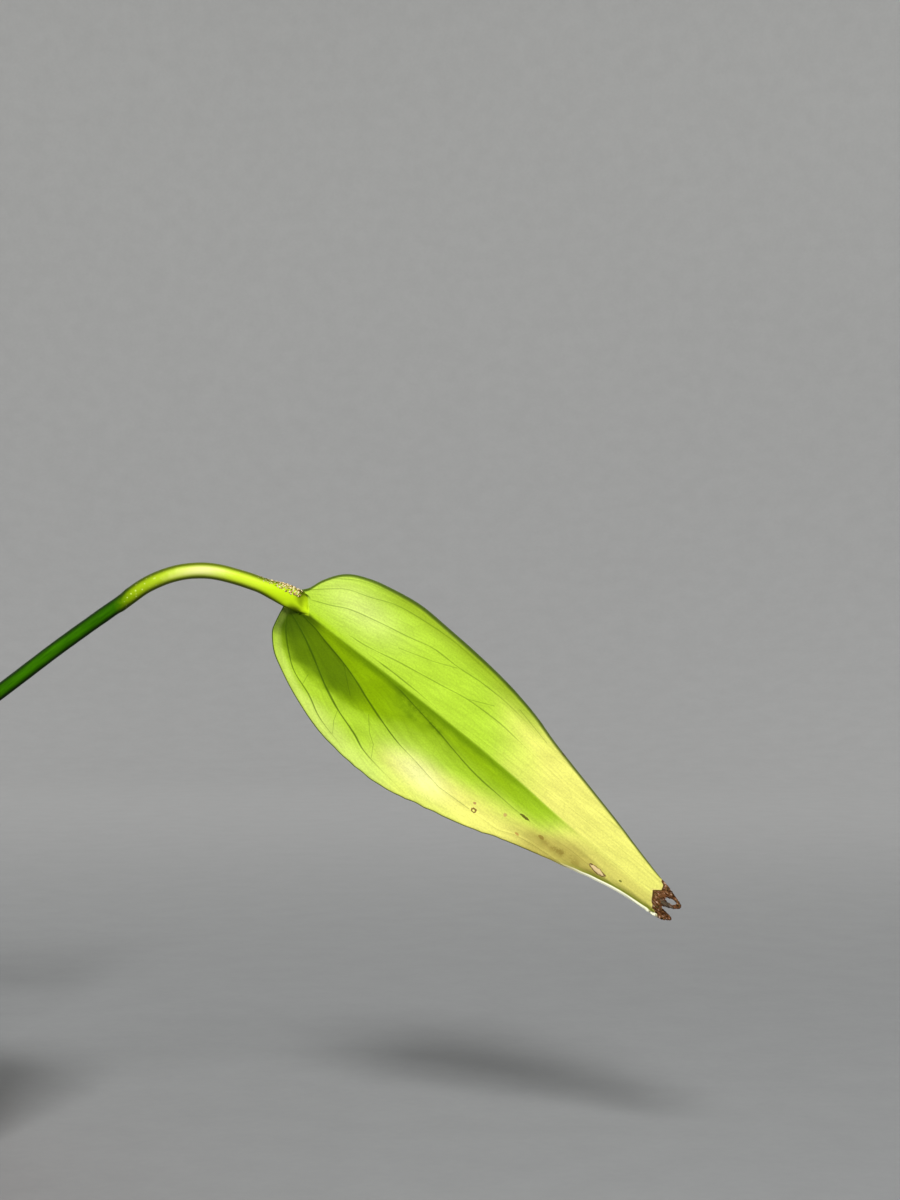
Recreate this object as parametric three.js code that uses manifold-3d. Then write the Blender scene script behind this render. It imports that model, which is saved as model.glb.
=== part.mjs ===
// A young flame monstera in a plain plastic pot. Millimetres, +Z up.
// The origin is the centre of the pot's base. The oldest leaf hangs out to +X with its
// underside towards -Y, and the younger leaves stand over the pot and to -X.
import * as THREE from "three";
import { mergeVertices } from "three/addons/utils/BufferGeometryUtils.js";
import Module from "manifold-3d";

const wasm = await Module();
wasm.setup();

// Clearance between two pieces that touch
const gap = 0.3;

// Pot
const potHeight = 110;
const potRimRadius = 60;
const potBaseRadius = 46;
const potWall = 2;
const potRimHeight = 9;
const potRimStep = 2.2;
const potEdgeRound = 1;
const potFloor = 3;
const potPadRadius = 20;
const potFootWidth = 5;
const potFootDepth = 1.6;
const drainHoleRadius = 4.5;
const drainHoleCount = 6;
const potSides = 40;

// Soil
const soilDepthBelowRim = 17;
const soilCrown = 1;
const soilLump = 0.8;
const soilRings = 7;

// Stem: its centre line, and its nodes as shares of its length
const stemPoints = [
  [-9, 1, 62],
  [-8, 0, 96],
  [-10, -1, 118],
  [-14, 0, 147],
];
const stemBaseRadius = 6.2;
const stemTopRadius = 4.4;
const stemNodes = [0.44, 0.6, 0.75, 0.88];
const nodeSwelling = 0.9;
const nodeWidth = 0.025;
const stemSides = 14;
const stemSteps = 34;
const rootRadius = 1.5;
const rootTaper = 0.45;
const rootRoutes = [
  [
    [-8, -2, 104],
    [-5, -12, 107],
    [2, -19, 101],
    [5, -23, 84],
  ],
  [
    [-10, 0, 117],
    [-6, 9, 119],
    [-2, 15, 113],
    [-1, 17, 107],
  ],
];

// Leaf stalk
const stalkRadius = 2.3;
const stalkBaseRadius = 3.5;
const knuckleRadius = 2.5;
const sheathShare = 0.42;
const sheathWings = 0.25;
const sheathGroove = 0.3;
const stalkSides = 10;

// Leaf blade: outline of the oldest leaf along (x) and across (y) its midrib
const bladeThickness = 0.8;
const longMargin = [
  [-4.2, 4.4],
  [-3.4, 9.7],
  [-2.3, 12.6],
  [1.5, 16.7],
  [6.2, 19.5],
  [15.5, 23.7],
  [27.9, 27.6],
  [40.3, 29.3],
  [52.7, 29.2],
  [65.1, 26.7],
  [83.7, 21.7],
  [96.1, 17.3],
  [112, 12.8],
  [129.3, 8.4],
  [142.9, 6.8],
];
const shortMargin = [
  [-3.8, 3.3],
  [-1.9, 5.6],
  [-0.3, 9.6],
  [2.4, 13.9],
  [5.3, 16.6],
  [9.3, 18.6],
  [15.5, 20.6],
  [27.9, 22.8],
  [40.3, 22.6],
  [52.7, 22],
  [65.1, 20.8],
  [77.5, 18.6],
  [89.9, 15.2],
  [114.7, 9.6],
  [127.1, 6.5],
  [141.5, 3],
];
const midribLine = [
  [0, 0.5],
  [40, 1],
  [70, 2.3],
  [84, 2.8],
  [110, 2.4],
  [144.5, 1.5],
];
// Torn end of the oldest leaf, from its short side to its long side
const tornEnd = [
  [141.5, -3],
  [145.7, -1.9],
  [150, -0.8],
  [148.2, 0.6],
  [145.4, 1.9],
  [144.2, 3.3],
  [150.2, 3.9],
  [148.2, 5.2],
  [144.5, 6.6],
];
// Whole tip of a younger leaf
const wholeTip = [158, 1];
const midribHeight = 3.2;
const midribHalfWidth = 2.3;
const midribNarrowing = 0.72;
// Rise of each half from the midrib, per unit of its width: at first, and curving back
const longRise = [0.42, -0.36];
const shortRise = [0.3, -0.09];
const marginWave = 0.5;
const marginWaveRate = 0.13;
// Where the stalk's end sits, from the blade's own origin
const bladeSeat = [0.5, -0.8, -1.8];

// Leaves, oldest first: the stalk's route, and the blade's place, pointing and facing
const leaves = [
  {
    name: "1",
    stalk: [
      [-7, 0, 96.3],
      [24, 0, 119.2],
      [63, 0, 148],
      [81.6, 0, 162.1],
      [100.2, -0.3, 175.3],
      [109.5, -0.6, 181.6],
      [118.8, -1, 184.9],
      [128.1, -1.3, 185.4],
      [137.4, -1.6, 183.3],
      [147, -1.8, 179.8],
    ],
    knuckleStart: 0.685,
    blade: [156.9, 0, 174.8],
    pointing: [0.7798, 0, -0.626],
    facing: [0, 1, 0],
    scale: 1,
    torn: true,
    stalkSteps: 40,
    arch: 4,
    droop: 6,
    rows: 30,
    columns: 7,
    stalkColor: 0x4a8a12,
    bladeColor: 0xb4d94a,
  },
  {
    name: "2",
    stalk: [
      [-10, -1, 110],
      [-32, -6, 142],
      [-62, -12, 188],
      [-84, -17, 216],
      [-99, -21, 224],
      [-112, -24, 221],
    ],
    knuckleStart: 0.82,
    blade: [-121, -27, 212],
    pointing: [-0.52, -0.2, -0.83],
    facing: [-0.8, -0.2, 0.56],
    scale: 0.98,
    arch: 7,
    droop: 14,
    rows: 20,
    columns: 5,
    stalkSteps: 24,
    stalkColor: 0x4f8a22,
    bladeColor: 0x5f9a35,
  },
  {
    name: "3",
    stalk: [
      [-11.5, 0, 126],
      [-5, 14, 170],
      [2, 34, 222],
      [5, 48, 248],
      [6, 62, 258],
      [7, 75, 255],
    ],
    knuckleStart: 0.84,
    blade: [7, 84, 247],
    pointing: [0.02, 0.6, -0.8],
    facing: [0.1, 0.78, 0.6],
    scale: 0.94,
    arch: 6,
    droop: 12,
    rows: 20,
    columns: 5,
    stalkSteps: 24,
    stalkColor: 0x559028,
    bladeColor: 0x66a338,
  },
  {
    name: "4",
    stalk: [
      [-13, -1, 138],
      [-22, -14, 180],
      [-33, -31, 232],
      [-39, -42, 258],
      [-44, -54, 269],
      [-50, -66, 267],
    ],
    knuckleStart: 0.84,
    blade: [-54, -74, 260],
    pointing: [-0.3, -0.55, -0.78],
    facing: [-0.45, -0.62, 0.62],
    scale: 0.84,
    arch: 5,
    droop: 10,
    rows: 20,
    columns: 5,
    stalkSteps: 24,
    stalkColor: 0x5f9a30,
    bladeColor: 0x78b53f,
  },
];

// New leaf, still rolled
const newLeafRoute = [
  [-14.5, 1, 144],
  [-17, 4, 175],
  [-19, 9, 214],
  [-19, 14, 248],
];
const newLeafRadius = 3.3;
const newLeafOverlap = 0.16;

const vector = (place) => new THREE.Vector3(...place);

// A geometry as a solid for joining and cutting, and back
function solidOf(geometry) {
  const bare = geometry.clone();
  bare.deleteAttribute("normal");
  bare.deleteAttribute("uv");
  const merged = mergeVertices(bare, 1e-4);
  return new wasm.Manifold(
    new wasm.Mesh({
      numProp: 3,
      vertProperties: merged.attributes.position.array,
      triVerts: new Uint32Array(merged.index.array),
    }),
  );
}

function geometryOf(solid) {
  const mesh = solid.getMesh();
  const geometry = new THREE.BufferGeometry();
  geometry.setAttribute("position", new THREE.BufferAttribute(mesh.vertProperties, 3));
  geometry.setIndex(new THREE.BufferAttribute(mesh.triVerts, 1));
  const faceted = geometry.toNonIndexed();
  faceted.computeVertexNormals();
  return faceted;
}

// A capped cylinder bent along a curve. radiusAt takes the share of the length and the
// direction round the section, where across = 1 is `side` and over = 1 is the upper side.
function rod(curve, side, radiusAt, sides, steps) {
  const geometry = new THREE.CylinderGeometry(1, 1, 1, sides, steps);
  const places = geometry.attributes.position;
  for (let i = 0; i < places.count; i++) {
    const along = THREE.MathUtils.clamp(places.getY(i) + 0.5, 0, 1);
    const across = places.getX(i);
    const over = -places.getZ(i);
    const forward = curve.getTangentAt(along);
    const sideways = side.clone().addScaledVector(forward, -side.dot(forward)).normalize();
    const upward = forward.clone().cross(sideways);
    const radius = radiusAt(along, across, over);
    const place = curve
      .getPointAt(along)
      .addScaledVector(sideways, across * radius)
      .addScaledVector(upward, over * radius);
    places.setXYZ(i, place.x, place.y, place.z);
  }
  return geometry;
}

// A closed plate between an underside and an upper side that are grids of points, split
// into triangles alike on both faces.
function plate(under, upper) {
  const rows = under.length;
  const columns = under[0].length;
  const points = [...under.flat(), ...upper.flat()];
  const index = [];
  const lower = (r, c) => r * columns + c;
  const higher = (r, c) => rows * columns + lower(r, c);
  const quad = (a, b, c, d) => index.push(a, b, c, a, c, d);
  for (let r = 0; r < rows - 1; r++) {
    for (let c = 0; c < columns - 1; c++) {
      index.push(lower(r, c), lower(r, c + 1), lower(r + 1, c + 1));
      index.push(lower(r, c), lower(r + 1, c + 1), lower(r + 1, c));
      index.push(higher(r, c), higher(r + 1, c + 1), higher(r, c + 1));
      index.push(higher(r, c), higher(r + 1, c), higher(r + 1, c + 1));
    }
    quad(lower(r, 0), lower(r + 1, 0), higher(r + 1, 0), higher(r, 0));
    const last = columns - 1;
    quad(lower(r + 1, last), lower(r, last), higher(r, last), higher(r + 1, last));
  }
  for (let c = 0; c < columns - 1; c++) {
    const end = rows - 1;
    quad(lower(0, c + 1), lower(0, c), higher(0, c), higher(0, c + 1));
    quad(lower(end, c), lower(end, c + 1), higher(end, c + 1), higher(end, c));
  }
  const geometry = new THREE.BufferGeometry().setFromPoints(points);
  geometry.setIndex(index);
  geometry.computeVertexNormals();
  return geometry;
}

// Pot: a thin tapered wall with a thicker rim band, and a floor that stands on its middle
// pad and its foot ring, with drain holes between them
function potOuterRadius(height) {
  const share = height / (potHeight - potRimHeight);
  return THREE.MathUtils.lerp(potBaseRadius, potRimRadius - potRimStep, Math.min(share, 1));
}

function potGeometry() {
  const shoulder = potHeight - potRimHeight;
  const innerRim = potRimRadius - potRimStep - potWall;
  const footInner = potBaseRadius - potFootWidth;
  const profile = [
    [0, 0],
    [potPadRadius, 0],
    [potPadRadius + potFootDepth, potFootDepth],
    [footInner - potFootDepth, potFootDepth],
    [footInner, 0],
    [potBaseRadius - potEdgeRound, 0],
    [potBaseRadius, potEdgeRound],
    [potOuterRadius(shoulder * 0.5), shoulder * 0.5],
    [potRimRadius - potRimStep, shoulder],
    [potRimRadius - 0.4, shoulder + potRimStep * 0.4],
    [potRimRadius, potHeight - potEdgeRound],
    [potRimRadius - potEdgeRound, potHeight],
    [innerRim + potEdgeRound, potHeight],
    [innerRim, potHeight - potEdgeRound],
    [innerRim, shoulder],
    [potBaseRadius - potWall, potFloor + potWall],
    [potBaseRadius - 2 * potWall, potFloor],
    [0, potFloor],
  ];
  // A lathe turns about Y, so the pot is turned upright afterwards.
  const shell = new THREE.LatheGeometry(
    profile.map(([radius, height]) => new THREE.Vector2(radius, height)),
    potSides,
  );
  shell.rotateX(Math.PI / 2);
  let solid = solidOf(shell);
  const holeCircle = (potPadRadius + footInner) / 2;
  for (let k = 0; k < drainHoleCount; k++) {
    const turn = (2 * Math.PI * k) / drainHoleCount;
    const hole = new THREE.CylinderGeometry(drainHoleRadius, drainHoleRadius, 4 * potFloor, 16);
    hole.rotateX(Math.PI / 2);
    hole.translate(holeCircle * Math.cos(turn), holeCircle * Math.sin(turn), 0);
    solid = solid.subtract(solidOf(hole));
  }
  return geometryOf(solid);
}

// Stem: a short thick rod, swollen at its nodes, with two aerial roots grown from it.
// extra makes it thicker all round, to cut its seat in a neighbour.
const stemCurve = new THREE.CatmullRomCurve3(stemPoints.map(vector));

function stemRadius(along) {
  const plain = THREE.MathUtils.lerp(stemBaseRadius, stemTopRadius, along);
  const swelling = stemNodes.reduce(
    (sum, node) => sum + nodeSwelling * Math.exp(-(((along - node) / nodeWidth) ** 2)),
    0,
  );
  const roundTop = Math.sqrt(Math.max(0, 1 - Math.max(0, (along - 0.95) / 0.052) ** 2));
  return (plain + swelling) * Math.max(roundTop, 0.2);
}

function stemSolid(extra) {
  const stemAt = (along) => stemRadius(along) + extra;
  let solid = solidOf(rod(stemCurve, vector([0, 1, 0]), stemAt, stemSides, stemSteps));
  for (const route of rootRoutes) {
    const curve = new THREE.CatmullRomCurve3(route.map(vector));
    const radiusAt = (along) => rootRadius * (1 - rootTaper * along ** 3) + extra;
    solid = solid.add(solidOf(rod(curve, vector([1, 0.3, 0]), radiusAt, 7, 12)));
  }
  return solid;
}

// Soil: fills the pot up to its surface, with a hole where the stem and the root stand
function soilSurface(radius, turn) {
  const crown = soilCrown * (1 - (radius / potRimRadius) ** 2);
  const lumps = Math.sin(5 * turn + 0.19 * radius) + Math.sin(3 * turn - 0.31 * radius + 1);
  const level = potHeight - soilDepthBelowRim;
  return level + crown + 0.5 * soilLump * lumps * Math.min(1, radius / 12);
}

function soilGeometry(stem) {
  const level = potHeight - soilDepthBelowRim;
  const wallRadius = (height) => potOuterRadius(height) - potWall - gap;
  const bottom = potFloor + potWall + gap;
  const profile = [new THREE.Vector2(0, potFloor + gap)];
  profile.push(new THREE.Vector2(potBaseRadius - 2 * potWall - gap, potFloor + gap));
  profile.push(new THREE.Vector2(wallRadius(0), bottom));
  profile.push(new THREE.Vector2(wallRadius(level), level));
  for (let ring = soilRings - 1; ring >= 0; ring--)
    profile.push(new THREE.Vector2((wallRadius(level) * ring) / soilRings, level + soilCrown));
  const body = new THREE.LatheGeometry(profile, potSides);
  body.rotateX(Math.PI / 2);
  const places = body.attributes.position;
  for (let i = 0; i < places.count; i++) {
    const radius = Math.hypot(places.getX(i), places.getY(i));
    if (places.getZ(i) <= level) continue;
    const turn = radius < 0.01 ? 0 : Math.atan2(places.getY(i), places.getX(i));
    places.setZ(i, soilSurface(radius, turn));
  }
  return geometryOf(solidOf(body).subtract(stem));
}

// Blade: rows of points from one margin over the midrib to the other, with the midrib
// raised on the underside
function bladeRows(leaf) {
  const toPlane = (side) => ([x, y]) => new THREE.Vector2(x, side * y);
  const longSide = longMargin.map(toPlane(1));
  const shortSide = shortMargin.map(toPlane(-1));
  const rib = midribLine.map(toPlane(1));
  if (!leaf.torn)
    for (const line of [longSide, shortSide, rib]) {
      line.pop();
      line.push(new THREE.Vector2(...wholeTip));
    }
  const long = new THREE.SplineCurve(longSide);
  const short = new THREE.SplineCurve(shortSide);
  const middle = new THREE.SplineCurve(rib);
  const tear = tornEnd.map(([x, y]) => new THREE.Vector2(x, y));
  const rows = [];
  for (let r = 0; r <= leaf.rows; r++) {
    const share = r / leaf.rows;
    const edge = leaf.torn ? share : Math.min(share, 0.995);
    const root = middle.getPointAt(Math.min(edge ** 1.2, 1));
    const row = [];
    for (let c = -leaf.columns; c <= leaf.columns; c++) {
      const margin = (c < 0 ? short : long).getPointAt(edge);
      const reach = root.distanceTo(margin);
      const ribWidth = Math.min(midribHalfWidth * (1 - midribNarrowing * share), reach * 0.4);
      const step = Math.abs(c);
      const rest = Math.max(0, step - 2) / (leaf.columns - 2);
      const out = step <= 2 ? (ribWidth * step) / 2 : ribWidth + (reach - ribWidth) * rest;
      const point = root.clone().lerp(margin, out / reach);
      if (leaf.torn && r === leaf.rows) {
        const across = ((c + leaf.columns) / (2 * leaf.columns)) * (tear.length - 1);
        const before = Math.min(Math.floor(across), tear.length - 2);
        point.lerpVectors(tear[before], tear[before + 1], across - before);
      }
      row.push({ point, share, side: Math.sign(c), tau: out / reach, reach, step });
    }
    rows.push(row);
  }
  return rows;
}

// Height of the blade's middle surface: both halves rise from the midrib, the long half
// dips back to its margin, and the whole blade arches and droops to its tip.
function bladeHeight(leaf, { point, share, side, tau, reach }) {
  const [rise, curl] = side > 0 ? longRise : shortRise;
  const halfRise = rise * tau + curl * tau ** 2;
  const ripple = Math.sin(marginWaveRate * point.x + 2 * side) * Math.sin(Math.PI * share);
  const wave = marginWave * ripple * tau ** 2;
  const arch = leaf.arch * Math.sin(Math.PI * share) - leaf.droop * share ** 2;
  return reach * halfRise + wave + arch;
}

function bladeGeometry(leaf) {
  const rows = bladeRows(leaf);
  const middle = rows.map((row) =>
    row.map((spot) => {
      const { x, y } = spot.point;
      return new THREE.Vector3(x, y, bladeHeight(leaf, spot));
    }),
  );
  const near = (list, i) => list[THREE.MathUtils.clamp(i, 0, list.length - 1)];
  const under = [];
  const upper = [];
  rows.forEach((row, r) => {
    under.push([]);
    upper.push([]);
    row.forEach(({ share, step }, c) => {
      const ahead = near(middle, r + 1)[c].clone().sub(near(middle, r - 1)[c]);
      const over = near(middle[r], c + 1).clone().sub(near(middle[r], c - 1));
      const normal = ahead.cross(over).normalize();
      const ribShape = [1, 0.8, 0][Math.min(step, 2)];
      const rib = midribHeight * (1 - share) ** 1.3 * ribShape;
      under[r].push(middle[r][c].clone().addScaledVector(normal, -bladeThickness / 2 - rib));
      upper[r].push(middle[r][c].clone().addScaledVector(normal, bladeThickness / 2));
    });
  });
  const geometry = plate(under, upper);
  geometry.scale(leaf.scale, leaf.scale, leaf.scale);
  return geometry;
}

// The blade's own frame: X along the midrib, Z out of the upper side
function bladeFrame(leaf) {
  const along = vector(leaf.pointing).normalize();
  const out = vector(leaf.facing);
  out.addScaledVector(along, -out.dot(along)).normalize();
  const across = out.clone().cross(along);
  const frame = new THREE.Matrix4().makeBasis(along, across, out);
  return frame.setPosition(vector(leaf.blade));
}

// Stalk: its base is a sheath, wider and hollowed on its upper side, and its end is a
// thicker knuckle that bends over into the blade.
function stalkSolid(leaf, extra) {
  const end = vector(bladeSeat).multiplyScalar(leaf.scale);
  end.x += extra;
  const route = [...leaf.stalk.map(vector), end.applyMatrix4(bladeFrame(leaf))];
  const curve = new THREE.CatmullRomCurve3(route, false, "centripetal");
  const side = vector(leaf.pointing).cross(vector([0, 0, 1])).normalize().negate();
  const radiusAt = (along, across, over) => {
    const base = Math.max(0, 1 - along / sheathShare);
    const wings = sheathWings * base * Math.abs(across);
    const groove = sheathGroove * base * Math.max(0, over) ** 6;
    const plain = stalkRadius + (stalkBaseRadius - stalkRadius) * base ** 1.5;
    const knuckle = (knuckleRadius - stalkRadius) * (along > leaf.knuckleStart ? 1 : 0);
    return leaf.scale * (plain * (1 + wings - groove) + knuckle) + extra;
  };
  return solidOf(rod(curve, side, radiusAt, stalkSides, leaf.stalkSteps));
}

// New leaf: a slim roll that tapers to a point, with the overlapping edge winding round it
function newLeafSolid() {
  const curve = new THREE.CatmullRomCurve3(newLeafRoute.map(vector));
  const radiusAt = (along, across, over) => {
    const belly = 0.55 + 0.45 * Math.sin(Math.PI * Math.min(1, along * 1.25));
    const point = along > 0.6 ? Math.max(0.06, 1 - ((along - 0.6) / 0.4) ** 1.6) : 1;
    const turn = Math.atan2(over, across) / (2 * Math.PI) + 0.7 * along + 1;
    return newLeafRadius * Math.min(belly, 1) * point * (1 + newLeafOverlap * (turn % 1));
  };
  return solidOf(rod(curve, vector([0, 1, 0]), radiusAt, 12, 16));
}

const plant = new THREE.Group();
plant.name = "potted_flame_monstera";

function addMesh(name, geometry, color, roughness) {
  const material = new THREE.MeshStandardMaterial({ color, roughness, metalness: 0 });
  const mesh = new THREE.Mesh(geometry, material);
  mesh.name = name;
  plant.add(mesh);
  return mesh;
}

const grownStem = stemSolid(gap);
addMesh("pot", potGeometry(), 0x9a5a3c, 0.6);
addMesh("soil", soilGeometry(grownStem), 0x3a2a1e, 0.95);
addMesh("stem", geometryOf(stemSolid(0)), 0x5c7a35, 0.6);

let newLeaf = newLeafSolid().subtract(grownStem);
for (const leaf of leaves) {
  const stalk = stalkSolid(leaf, 0).subtract(grownStem);
  addMesh(`leaf_stalk_${leaf.name}`, geometryOf(stalk), leaf.stalkColor, 0.4);
  newLeaf = newLeaf.subtract(stalkSolid(leaf, gap));

  const frame = bladeFrame(leaf);
  const seat = geometryOf(stalkSolid(leaf, gap)).applyMatrix4(frame.clone().invert());
  const blade = solidOf(bladeGeometry(leaf)).subtract(solidOf(seat));
  const mesh = addMesh(`leaf_blade_${leaf.name}`, geometryOf(blade), leaf.bladeColor, 0.45);
  mesh.applyMatrix4(frame);
}
addMesh("new_leaf", geometryOf(newLeaf), 0x8cc152, 0.4);

export default plant;
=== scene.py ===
import math
import random

import bmesh
import bpy
import numpy as np
from mathutils import Matrix, Vector, noise


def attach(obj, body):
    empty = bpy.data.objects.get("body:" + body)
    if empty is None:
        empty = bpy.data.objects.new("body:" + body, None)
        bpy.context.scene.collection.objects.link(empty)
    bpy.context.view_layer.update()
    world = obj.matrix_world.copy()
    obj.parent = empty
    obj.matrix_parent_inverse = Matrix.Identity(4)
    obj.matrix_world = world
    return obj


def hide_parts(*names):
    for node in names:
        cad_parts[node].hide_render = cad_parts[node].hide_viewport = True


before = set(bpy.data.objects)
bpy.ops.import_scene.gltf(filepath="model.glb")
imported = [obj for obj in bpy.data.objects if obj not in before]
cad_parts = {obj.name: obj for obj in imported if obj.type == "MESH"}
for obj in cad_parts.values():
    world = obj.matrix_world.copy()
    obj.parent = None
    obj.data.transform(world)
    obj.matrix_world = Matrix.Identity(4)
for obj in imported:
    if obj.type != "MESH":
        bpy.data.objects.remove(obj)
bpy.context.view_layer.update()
MM = 0.001

# View
# The oldest leaf is seen level and square on from its underside, with the pot, the stem
# and the younger leaves just past the left edge of the picture.
picture_height = 372 * MM
picture_centre = Vector((202.5, 0, 176.4)) * MM
view_distance = 700 * MM

camera = bpy.data.objects.new("leaf_camera", bpy.data.cameras.new("leaf_camera"))
camera.data.lens = camera.data.sensor_width * view_distance / picture_height
camera.data.clip_start = 0.02
camera.location = picture_centre - Vector((0, view_distance, 0))
camera.rotation_euler = (math.radians(90), 0, 0)
bpy.context.scene.collection.objects.link(camera)
bpy.context.scene.camera = camera
bpy.context.scene.view_settings.view_transform = "Standard"


# Pot
# A common 12 cm grow pot, moulded in one piece from thin terracotta-coloured plastic,
# with a rim band, a raised floor with drain holes, and a foot ring to stand on.
pot_height = 110 * MM
rim_radius = 60 * MM
base_radius = 46 * MM
rim_height = 9 * MM
rim_step = 2.2 * MM
pot_wall = 2 * MM
pot_floor = 3 * MM
pad_radius = 20 * MM
foot_width = 5 * MM
foot_depth = 1.6 * MM
drain_radius = 4.5 * MM
drain_count = 6
shoulder = pot_height - rim_height


def wall_radius(height):
    """Outer radius of the tapered wall."""
    share = min(height / shoulder, 1)
    return base_radius + (rim_radius - rim_step - base_radius) * share


def piece_of(mesh_in_progress, name, smooth=True):
    """Turns a bmesh into a named object at the origin."""
    mesh = bpy.data.meshes.new(name)
    mesh_in_progress.to_mesh(mesh)
    mesh_in_progress.free()
    mesh.polygons.foreach_set("use_smooth", [smooth] * len(mesh.polygons))
    thing = bpy.data.objects.new(name, mesh)
    bpy.context.scene.collection.objects.link(thing)
    return thing


def turned(profile, steps):
    """A bmesh turned round Z from (radius, height) points that start and end on the axis."""
    shape = bmesh.new()
    line = [shape.verts.new((radius, 0, height)) for radius, height in profile]
    edges = [shape.edges.new(pair) for pair in zip(line, line[1:])]
    bmesh.ops.spin(shape, geom=line + edges, cent=(0, 0, 0), axis=(0, 0, 1), angle=math.tau,
                   steps=steps, use_merge=True)
    bmesh.ops.remove_doubles(shape, verts=shape.verts, dist=1e-6)
    bmesh.ops.recalc_face_normals(shape, faces=shape.faces)
    return shape


def arc(centre, radius, start, end, count):
    """Points on an arc in the profile's plane, in degrees."""
    angles = np.radians(np.linspace(start, end, count))
    return [(centre[0] + radius * math.cos(a), centre[1] + radius * math.sin(a)) for a in angles]


foot_inner = base_radius - foot_width
lip = 1.4 * MM
inner_rim = rim_radius - rim_step - pot_wall
pot_profile = [(0, 0), (pad_radius, 0), (pad_radius + foot_depth, foot_depth)]
pot_profile += [(foot_inner - foot_depth, foot_depth), (foot_inner, 0)]
pot_profile += arc((base_radius - lip, lip), lip, -90, 0, 6)
pot_profile += [(wall_radius(h), h) for h in np.linspace(6 * MM, shoulder - 1 * MM, 12)]
pot_profile += arc((rim_radius - lip, shoulder + lip), lip, -80, 0, 5)
pot_profile += arc((rim_radius - lip, pot_height - lip), lip, 0, 90, 6)
pot_profile += arc((inner_rim + lip, pot_height - lip), lip, 90, 180, 6)
pot_profile += [(inner_rim, shoulder), (wall_radius(shoulder / 2) - pot_wall, shoulder / 2)]
pot_profile += [(base_radius - pot_wall, pot_floor + pot_wall), (base_radius - 2 * pot_wall, pot_floor)]
pot_profile += [(0, pot_floor)]

pot = piece_of(turned(pot_profile, 128), "grow_pot")

drain_tools = bmesh.new()
for k in range(drain_count):
    turn = math.tau * k / drain_count
    circle = (pad_radius + foot_inner) / 2
    place = Matrix.Translation((circle * math.cos(turn), circle * math.sin(turn), 0))
    bmesh.ops.create_cone(drain_tools, cap_ends=True, segments=32, radius1=drain_radius,
                          radius2=drain_radius, depth=6 * pot_floor, matrix=place)
drain_cutter = piece_of(drain_tools, "drain_cutter")
cut = pot.modifiers.new("drain_holes", "BOOLEAN")
cut.object = drain_cutter
cut.solver = "EXACT"


def settle(thing):
    """Applies a piece's modifiers."""
    bpy.context.view_layer.update()
    finished = bpy.data.meshes.new_from_object(
        thing.evaluated_get(bpy.context.evaluated_depsgraph_get()))
    thing.modifiers.clear()
    thing.data = finished


settle(pot)
bpy.data.objects.remove(drain_cutter)
pot.data.set_sharp_from_angle(angle=math.radians(38))


def add(tree, kind, feeds=None, **settings):
    """Adds a node, with its sockets fed by values or by other nodes' outputs."""
    node = tree.nodes.new(kind)
    for key, value in settings.items():
        setattr(node, key, value)
    for socket, value in (feeds or {}).items():
        if isinstance(value, bpy.types.NodeSocket):
            tree.links.new(value, node.inputs[socket])
        else:
            node.inputs[socket].default_value = value
    return node


def math_of(tree, operation, first, second=0.0):
    """Result of one Math node."""
    return add(tree, "ShaderNodeMath", {0: first, 1: second}, operation=operation).outputs[0]


def times(tree, first, second):
    """Product of two values."""
    return math_of(tree, "MULTIPLY", first, second)


def ramp_of(tree, value, low, high, bottom=0.0, top=1.0):
    """Smooth step of a value from low to high."""
    return add(tree, "ShaderNodeMapRange", {0: value, 1: low, 2: high, 3: bottom, 4: top},
               interpolation_type="SMOOTHSTEP").outputs[0]


def blend_of(tree, share, first, second):
    """Colour mix of first and second."""
    return add(tree, "ShaderNodeMix", {0: share, 6: first, 7: second}, data_type="RGBA").outputs[2]


def noise_of(tree, place, scale, detail):
    """Noise from 0 to 1 at a place."""
    return add(tree, "ShaderNodeTexNoise", {"Vector": place, "Scale": scale, "Detail": detail}).outputs[0]


def place_of(tree):
    """Place of a point on its own piece, in metres."""
    return add(tree, "ShaderNodeTexCoord").outputs["Object"]


def parts_of(tree, vector):
    """The three parts of a vector."""
    return add(tree, "ShaderNodeSeparateXYZ", {0: vector}).outputs


def tone(red, green, blue):
    """A colour given as a screen shows it, in the linear light that shaders use."""
    parts = [c / 255 for c in (red, green, blue)]
    return [c / 12.92 if c <= 0.04045 else ((c + 0.055) / 1.055) ** 2.4 for c in parts] + [1]


def finish_of(name, **shader_values):
    """A material with one Principled shader, and its tree."""
    material = bpy.data.materials.new(name)
    material.use_nodes = True
    shader = material.node_tree.nodes["Principled BSDF"]
    for socket, value in shader_values.items():
        shader.inputs[socket.replace("_", " ")].default_value = value
    return material, material.node_tree, shader


def new_group(name, inputs, outputs):
    """An empty node group, with the sockets where values come in and where they go out."""
    tree = bpy.data.node_groups.new(name, "ShaderNodeTree")
    for way, sockets in (("INPUT", inputs), ("OUTPUT", outputs)):
        for label, kind in sockets.items():
            tree.interface.new_socket(label, in_out=way, socket_type="NodeSocket" + kind)
    return tree, tree.nodes.new("NodeGroupInput").outputs, tree.nodes.new("NodeGroupOutput").inputs


def speckle_group():
    """Uneven colour from a coarse and a fine noise, and a surface height from the fine one."""
    tree, given, wanted = new_group("fine_unevenness", {"Place": "Vector", "Grain per metre": "Float"},
                                    {"Mottle": "Float", "Height": "Float"})
    coarse = noise_of(tree, given[0], times(tree, given[1], 0.18), 3.0)
    fine = noise_of(tree, given[0], given[1], 2.0)
    mottle = math_of(tree, "ADD", times(tree, coarse, 0.6), times(tree, fine, 0.4))
    tree.links.new(mottle, wanted[0])
    tree.links.new(fine, wanted[1])
    return tree


unevenness = speckle_group()


def uneven(tree, place, grain):
    """Places the unevenness group and returns its mottle and its height."""
    return add(tree, "ShaderNodeGroup", {0: place, 1: grain}, node_tree=unevenness).outputs


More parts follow.
